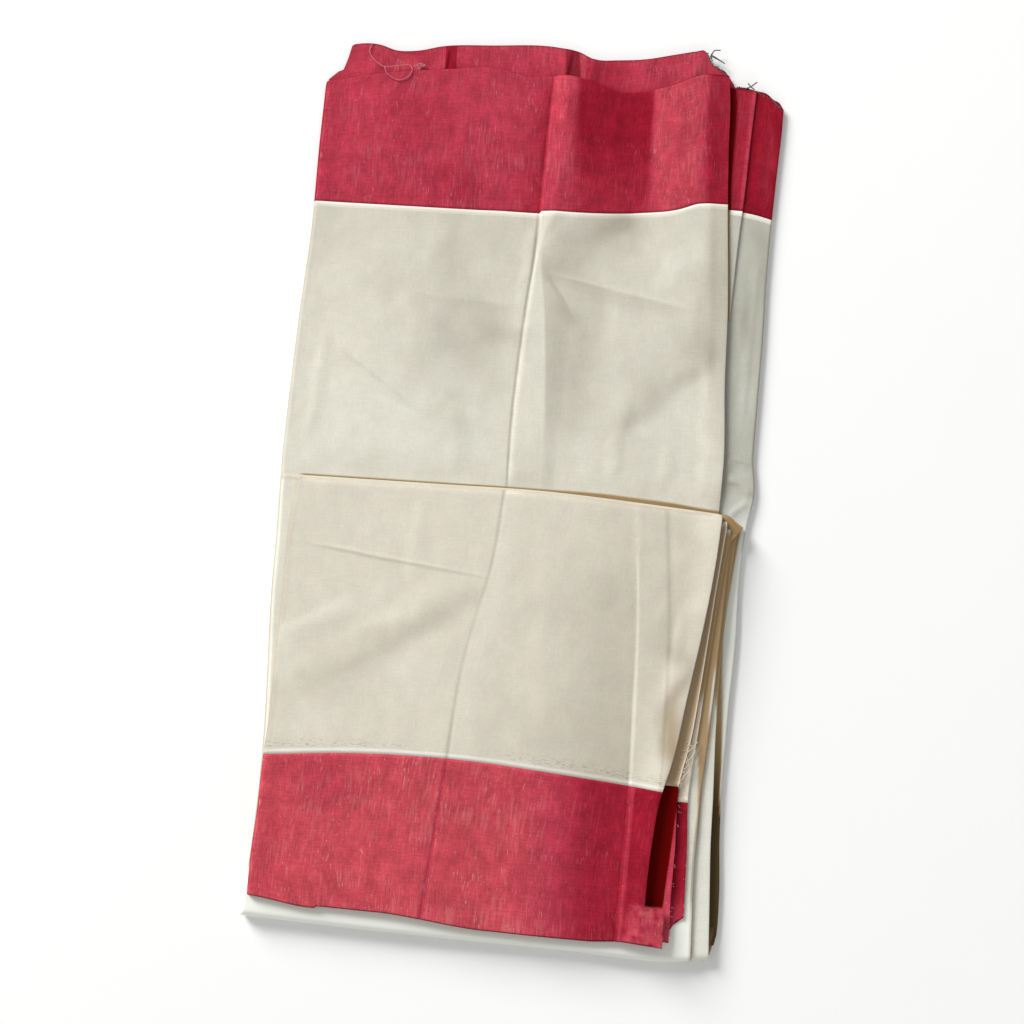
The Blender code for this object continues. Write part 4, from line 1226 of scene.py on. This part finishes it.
def cross_bar(edge, x_low, x_high, z, side, seed, bias, reach=18.0):
    """A single ply's selvedge that runs across the packet, set back from edge unevenly."""
    x = np.arange(x_low, x_high, 2.6)
    y = edge(x) - side * np.maximum(bias + wander(seed, 1.0, 60.0)(x), 0.1)
    line = np.stack((x, y, z + wander(seed + 300, 0.05, 40.0)(x)), -1)
    outer = [(CUT_HALF, -CUT_HALF), (0.0, 0.0), (CUT_HALF, CUT_HALF)]
    section = [(reach, -CUT_HALF)] + outer + [(reach, CUT_HALF)]
    return bar(line, (0.0, -side, 0.0), (0.0, 0.0, 1.0), section, side > 0)


def cross_bars(edge, x_low, x_high, low_z, step_z, side, seed, biases, reach=18.0):
    """Selvedges one above the other, each set back by its bias."""
    return [
        cross_bar(edge, x_low, x_high, low_z + step_z * i, side, seed + i, bias, reach)
        for i, bias in enumerate(biases)
    ]


def up_to(start, end):
    """Places a step apart from start, and the end."""
    return np.append(np.arange(start, end, BAR_STEP), end)


def ply_edges():
    line = float(front_line(0.0))
    side_y = float(side_line(150.0))
    levels = list(enumerate(PLY_LEVELS))
    bars = [side_bar(-1, packet_left, up_to(BASE_LOW, line), z, 10 + i, 0.35) for i, z in levels]
    edges, ends_y = (packet_right, turned_leaf_right), (side_y, 2.0)
    bars += [bend_bar(1, edges, z, 8.1 - z, ends_y, 20 + i, 0.6 + 0.5 * i) for i, z in levels]

    # Painted deep shade on the plies low on the right
    def low_right(x, y):
        return 1.2 * ease(x, 60.0, 20.0) * ease(-y, 130.0, 70.0)

    nodes = ["base_layers_field"]
    bars_object("base_plies_cream", bars, cream, nodes, line, -0.35, low_right)
    bars = []
    for i, z in levels:
        bars.append(side_bar(-1, packet_left, up_to(line, LEFT_PLIES_END_Y), z, 30 + i, 0.35))
        bars.append(side_bar(1, packet_right, up_to(side_y, RIGHT_PLIES_END_Y), z, 40 + i, 0.6 + 0.5 * i))
    bars += cross_bars(whole_edge, -151.0, 159.5, 0.62, 0.36, 1, 50, (1.2, 2.6, 1.0, 3.4, 2.0, 1.1))
    bars += cross_bars(front_edge, -150.0, 117.0, 4.0, 0.35, 1, 60, (3.2, 1.2, 2.2), 30.0)
    bars_object("base_plies_red", bars, red, ["base_layers_border"], line, -0.4)
    # The plies of the turned-up half, from the outermost inwards
    low_y = TURNED_PLIES_START_Y
    both_low = (low_y, low_y)
    edges = (moved(turned_right, -0.5),) * 2
    bars = []
    for i in range(2):
        bars.append(bend_bar(1, edges, 1.0 + 0.7 * i, 9.15 - 0.7 * i, (low_y, 6.0), 70 + i, 0.8 + 0.5 * i))
    edges = (moved(packet_left, TURNED_LEFT_IN + 1.0),) * 2
    for i in range(5):
        more = PLY_SPACING * i
        bars.append(bend_bar(-1, edges, 1.1 + more, 9.2 - more, both_low, 80 + i, gap=0.9 + more))
    edges = (moved(packet_right, -2.0), moved(turned_leaf_right, -2.0))
    for i in range(2):
        more = 0.7 * i
        bars.append(bend_bar(1, edges, 2.7 + more, 5.4 - more, both_low, 90 + i, gap=2.6 + more, thick=0.6))
    y = up_to(-270.0, FRONT_PLIES_END_Y)
    bars += [side_bar(1, front_right, y, 4.0 + 0.7 * i, 95 + i, 0.8 + i) for i in range(2)]

    # Painted deep shade on the plies at the lowest right corner
    def low_corner(x, y):
        return 1.6 * ease(x, 149.0, 4.0) * ease(y, -279.0, 5.0)

    nodes = ["turned_layers"]
    bars_object("turned_plies_cream", bars, cream, nodes, line, -0.3, low_corner)
    edge = moved(flap_left, 0.8)
    y = up_to(float(flap_line(-148.0)), FLAP_PLIES_END_Y)
    bars = [side_bar(-1, edge, y, 10.75 + PLY_SPACING * i, 100 + i, reach=4.0) for i in range(2)]
    nodes = ["flap_layers_field"]
    bars_object("flap_plies_cream", bars, warm_cream, nodes, line)
    biases = (2.6, 1.2, 3.4, 1.8, 0.8, 2.8, 1.4, 0.6, 1.2)
    bars = cross_bars(flap_edge, -146.5, LEAF_INNER_X - 1.0, 10.6, 0.38, -1, 110, biases)
    bars_object("flap_plies_red", bars, red, ["flap_layers_border"], line, -0.3)


# Loose yarn


def tube(points, radius, sides=6, steps=6):
    """A thin round yarn along a smooth line through the points."""
    points = np.array(points, float)
    padded = np.concatenate((points[:1], points, points[-1:]))
    line = []
    for a, b, c, d in zip(padded, padded[1:], padded[2:], padded[3:]):
        for t in np.linspace(0.0, 1.0, steps, endpoint=False):
            square, cube = 2 * a - 5 * b + 4 * c - d, 3 * b - a - 3 * c + d
            line.append(0.5 * (2 * b + (c - a) * t + square * t**2 + cube * t**3))
    line = np.array(line + [points[-1]])
    tangent = np.gradient(line, axis=0)
    tangent /= np.linalg.norm(tangent, axis=1)[:, None] + 1e-9
    aside = np.cross(tangent, (0.03, 0.02, 1.0))
    aside /= np.linalg.norm(aside, axis=1)[:, None] + 1e-9
    up = np.cross(aside, tangent)
    angles = 2.0 * math.pi * np.arange(sides)[:, None] / sides
    return line[:, None] + radius * (np.cos(angles) * aside[:, None] + np.sin(angles) * up[:, None])


def yarns(name, lines, radius, material):
    bars_object(name, [tube(line, radius) for line in lines], material, [], 0.0)


def frays(seed, path, count, reach, lean, height=0.5):
    """Short stray fibres from places along a path, each bent its own way."""
    draw = np.random.default_rng(seed)
    path = np.array(path, float)
    lines = []
    for _ in range(count):
        at = draw.uniform(0.0, len(path) - 1.001)
        i = int(at)
        root = path[i] + (at - i) * (path[i + 1] - path[i])
        way = np.array((*lean, 0.0)) + np.array((*draw.normal(0.0, 0.7, 2), 0.0))
        way *= draw.uniform(0.35, 1.0) * reach / max(np.linalg.norm(way), 0.2)
        turn = np.array((-way[1], way[0], 0.0)) * draw.uniform(-0.6, 0.6)
        up = np.array((0.0, 0.0, draw.uniform(0.1, 1.0) * height))
        bent = root + 0.8 * way + turn + 0.6 * up
        lines.append([root, root + 0.4 * way + 0.3 * turn + up, bent, root + way])
    return lines


def loose_yarn():
    lines = [
        [
            (-128.5, 318.5, 4.2), (-130.4, 313, 4.6), (-128.7, 308.6, 4.8), (-124.2, 304.3, 5.2),
            (-118.2, 301.5, 6.2), (-108.6, 303.4, 6.0), (-102.2, 304.4, 5.8), (-99.5, 302.0, 6.4),
            (-100.2, 297.6, 6.9), (-103.8, 294.0, 7.0), (-108.5, 292.6, 7.0), (-113.5, 294.4, 7.0),
            (-117.2, 297.7, 6.9), (-118.8, 301.5, 6.6),
        ],
        [(-97, 305, 5.2), (-95, 306.2, 5.4), (-92.5, 305.4, 5.4), (-90.8, 306, 5.2)],
        [(-96.5, 304.6, 5.2), (-94, 305, 5.5), (-91, 304.6, 5.2)],
        [(-96, 306, 5.0), (-93, 306.6, 5.4), (-90.6, 305, 5.2)],
    ]
    lines += frays(3, [(-97, 304, 5.2), (-92, 304, 5.2)], 5, 2.6, (0.0, -0.6))
    yarns("loose_thread", lines, 0.23, pale_yarn)
    lines = [
        [(107.5, 330, 3.8), (107.6, 333, 4.4), (109.4, 336, 4.8), (113.4, 336.6, 4.4)],
        [(107.6, 332.6, 4.2), (110.2, 331.2, 4.6), (113.6, 329.4, 4.4), (117.2, 327.6, 4.0)],
        [(108, 331.6, 4.2), (110.6, 330.4, 4.6), (114.6, 329, 4.2)],
        [(108.4, 329, 3.8), (107, 332, 4.4), (108.4, 334.8, 4.6)],
        [(133.6, 311.4, 3.6), (136.4, 312.6, 4.2), (138.8, 314.6, 4.4), (140.8, 316.4, 4.2)],
        [(134.6, 315, 4.0), (136.6, 312.8, 4.2), (139.4, 311, 4.0)],
    ]
    yarns("corner_frays", lines, 0.42, dark_yarn)
    path = [(104, 334, 3.6), (108.4, 326, 3.6), (116, 322.4, 3.6), (122, 315, 3.4)]
    lines = frays(4, path, 60, 1.5, (0.3, 0.3), 0.3)
    path = [(128, 311.6, 3.4), (141, 309.6, 3.4), (152, 305, 3.4), (160, 298, 3.4)]
    lines += frays(5, path, 60, 1.4, (0.3, 0.4), 0.3)
    yarns("edge_frays", lines, 0.2, dark_yarn)
    lines = [
        [
            (130, -144, 14.2), (134, -144, 14.8), (136.5, -147, 14.6), (134, -152, 14.8),
            (131.5, -155, 14.4), (134, -159, 14.6), (131, -164, 14.4), (128, -169, 13.8),
        ],
        [(138, -141, 13.0), (134, -146, 14.6), (131, -150, 14.8), (133, -156, 14.4), (130, -160, 14.6)],
    ]
    yarns("leaf_yarn", lines, 0.26, cream_yarn)
    lines = frays(6, [(131, -141, 14.2), (129, -160, 14.0), (128, -172, 13.8)], 30, 3.4, (0.4, -0.2))
    yarns("leaf_frays", lines, 0.13, cream_yarn)
    lines = frays(7, [(128.5, -176, 13.8), (129, -215, 13.6), (129.5, -244, 13.6)], 12, 2.6, (0.7, -0.4))
    lines += frays(9, [(129.6, -250, 13.8), (129.8, -270, 13.6)], 12, 1.8, (0.5, -0.4))
    lines += frays(8, [(136.0, -186, 12.4), (137.5, -225, 12.2), (138.5, -254, 12.2)], 16, 2.2, (0.5, -0.5))
    yarns("leaf_red_frays", lines, 0.11, pale_yarn)


# Floor, lights and camera

CAMERA_TURN = 5.6
CAMERA_ELEVATION = 85.0
CAMERA_DISTANCE = 1.00136
CAMERA_LENS = 52.0
CAMERA_SENSOR = 36.0
TARGET = Vector((-MIDDLE_X * MM, -MIDDLE_Y * MM, 0.008))


def camera():
    turn, tilt = math.radians(CAMERA_TURN), math.radians(90.0 - CAMERA_ELEVATION)
    ahead_on_floor = Vector((-math.sin(turn), math.cos(turn), 0.0))
    back = Vector((0.0, 0.0, math.cos(tilt))) - ahead_on_floor * math.sin(tilt)
    right = Vector((math.cos(turn), math.sin(turn), 0.0))
    data = bpy.data.cameras.new("Camera")
    data.lens = CAMERA_LENS
    data.sensor_width = CAMERA_SENSOR
    data.clip_start = 0.05
    data.clip_end = 20.0
    made = add_object("Camera", data)
    axes = Matrix((right, back.cross(right), back)).transposed().to_4x4()
    made.matrix_world = Matrix.Translation(TARGET + back * CAMERA_DISTANCE) @ axes
    bpy.context.scene.camera = made


def area_light(name, place, size, energy, colour):
    data = bpy.data.lights.new(name, "AREA")
    data.size = size
    data.energy = energy
    data.color = colour
    made = add_object(name, data)
    made.location = place
    made.rotation_mode = "QUATERNION"
    made.rotation_quaternion = (Vector(place) - TARGET).to_track_quat("Z", "Y")


def floor():
    graph = Graph("Pale floor")
    cloudy = graph.noise(graph.add("TexCoord", {}, "Object"), 60.0, 60.0, 3.0, 2.0)
    colour = graph.blend(cloudy, FLOOR_PALE, FLOOR_PALEST)
    surface = {"Base Color": colour, "Roughness": 0.9, "Specular IOR Level": 0.1}
    for socket, value in surface.items():
        graph.put(graph.shader.inputs[socket], value)
    mesh = bpy.data.meshes.new("Floor")
    corners = [(x * FLOOR_HALF, y * FLOOR_HALF, 0) for x, y in ((-1, -1), (1, -1), (1, 1), (-1, 1))]
    mesh.from_pydata(corners, [], [(0, 1, 2, 3)])
    mesh.materials.append(graph.material)
    made = add_object("Floor", mesh)
    made.location.z = FLOOR_Z


def lights():
    world = bpy.data.worlds.new("Studio")
    bpy.context.scene.world = world
    world.use_nodes = True
    background = world.node_tree.nodes["Background"]
    background.inputs["Color"].default_value = (1.0, 1.0, 1.0, 1.0)
    background.inputs["Strength"].default_value = WORLD_STRENGTH
    area_light("Key", (-4.7, 4.5, 3.04), 3.0, 767.0, DAYLIGHT)
    area_light("Low", (0.5, -5.6, 2.3), 3.2, 70.0, WHITE_LIGHT)
    bpy.context.scene.view_settings.view_transform = "Standard"


# The scene

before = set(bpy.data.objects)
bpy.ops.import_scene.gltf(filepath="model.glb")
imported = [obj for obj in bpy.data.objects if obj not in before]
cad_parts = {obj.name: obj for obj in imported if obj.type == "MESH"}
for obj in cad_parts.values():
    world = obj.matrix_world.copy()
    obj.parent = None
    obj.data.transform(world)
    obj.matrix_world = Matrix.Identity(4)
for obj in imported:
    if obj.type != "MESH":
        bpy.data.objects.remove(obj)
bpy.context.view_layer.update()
camera()
underside()
front_sheet()
rear_band()
side_leaves()
turned_sheets()
flap_sheet()
loose_leaves()
ply_edges()
loose_yarn()
floor()
lights()
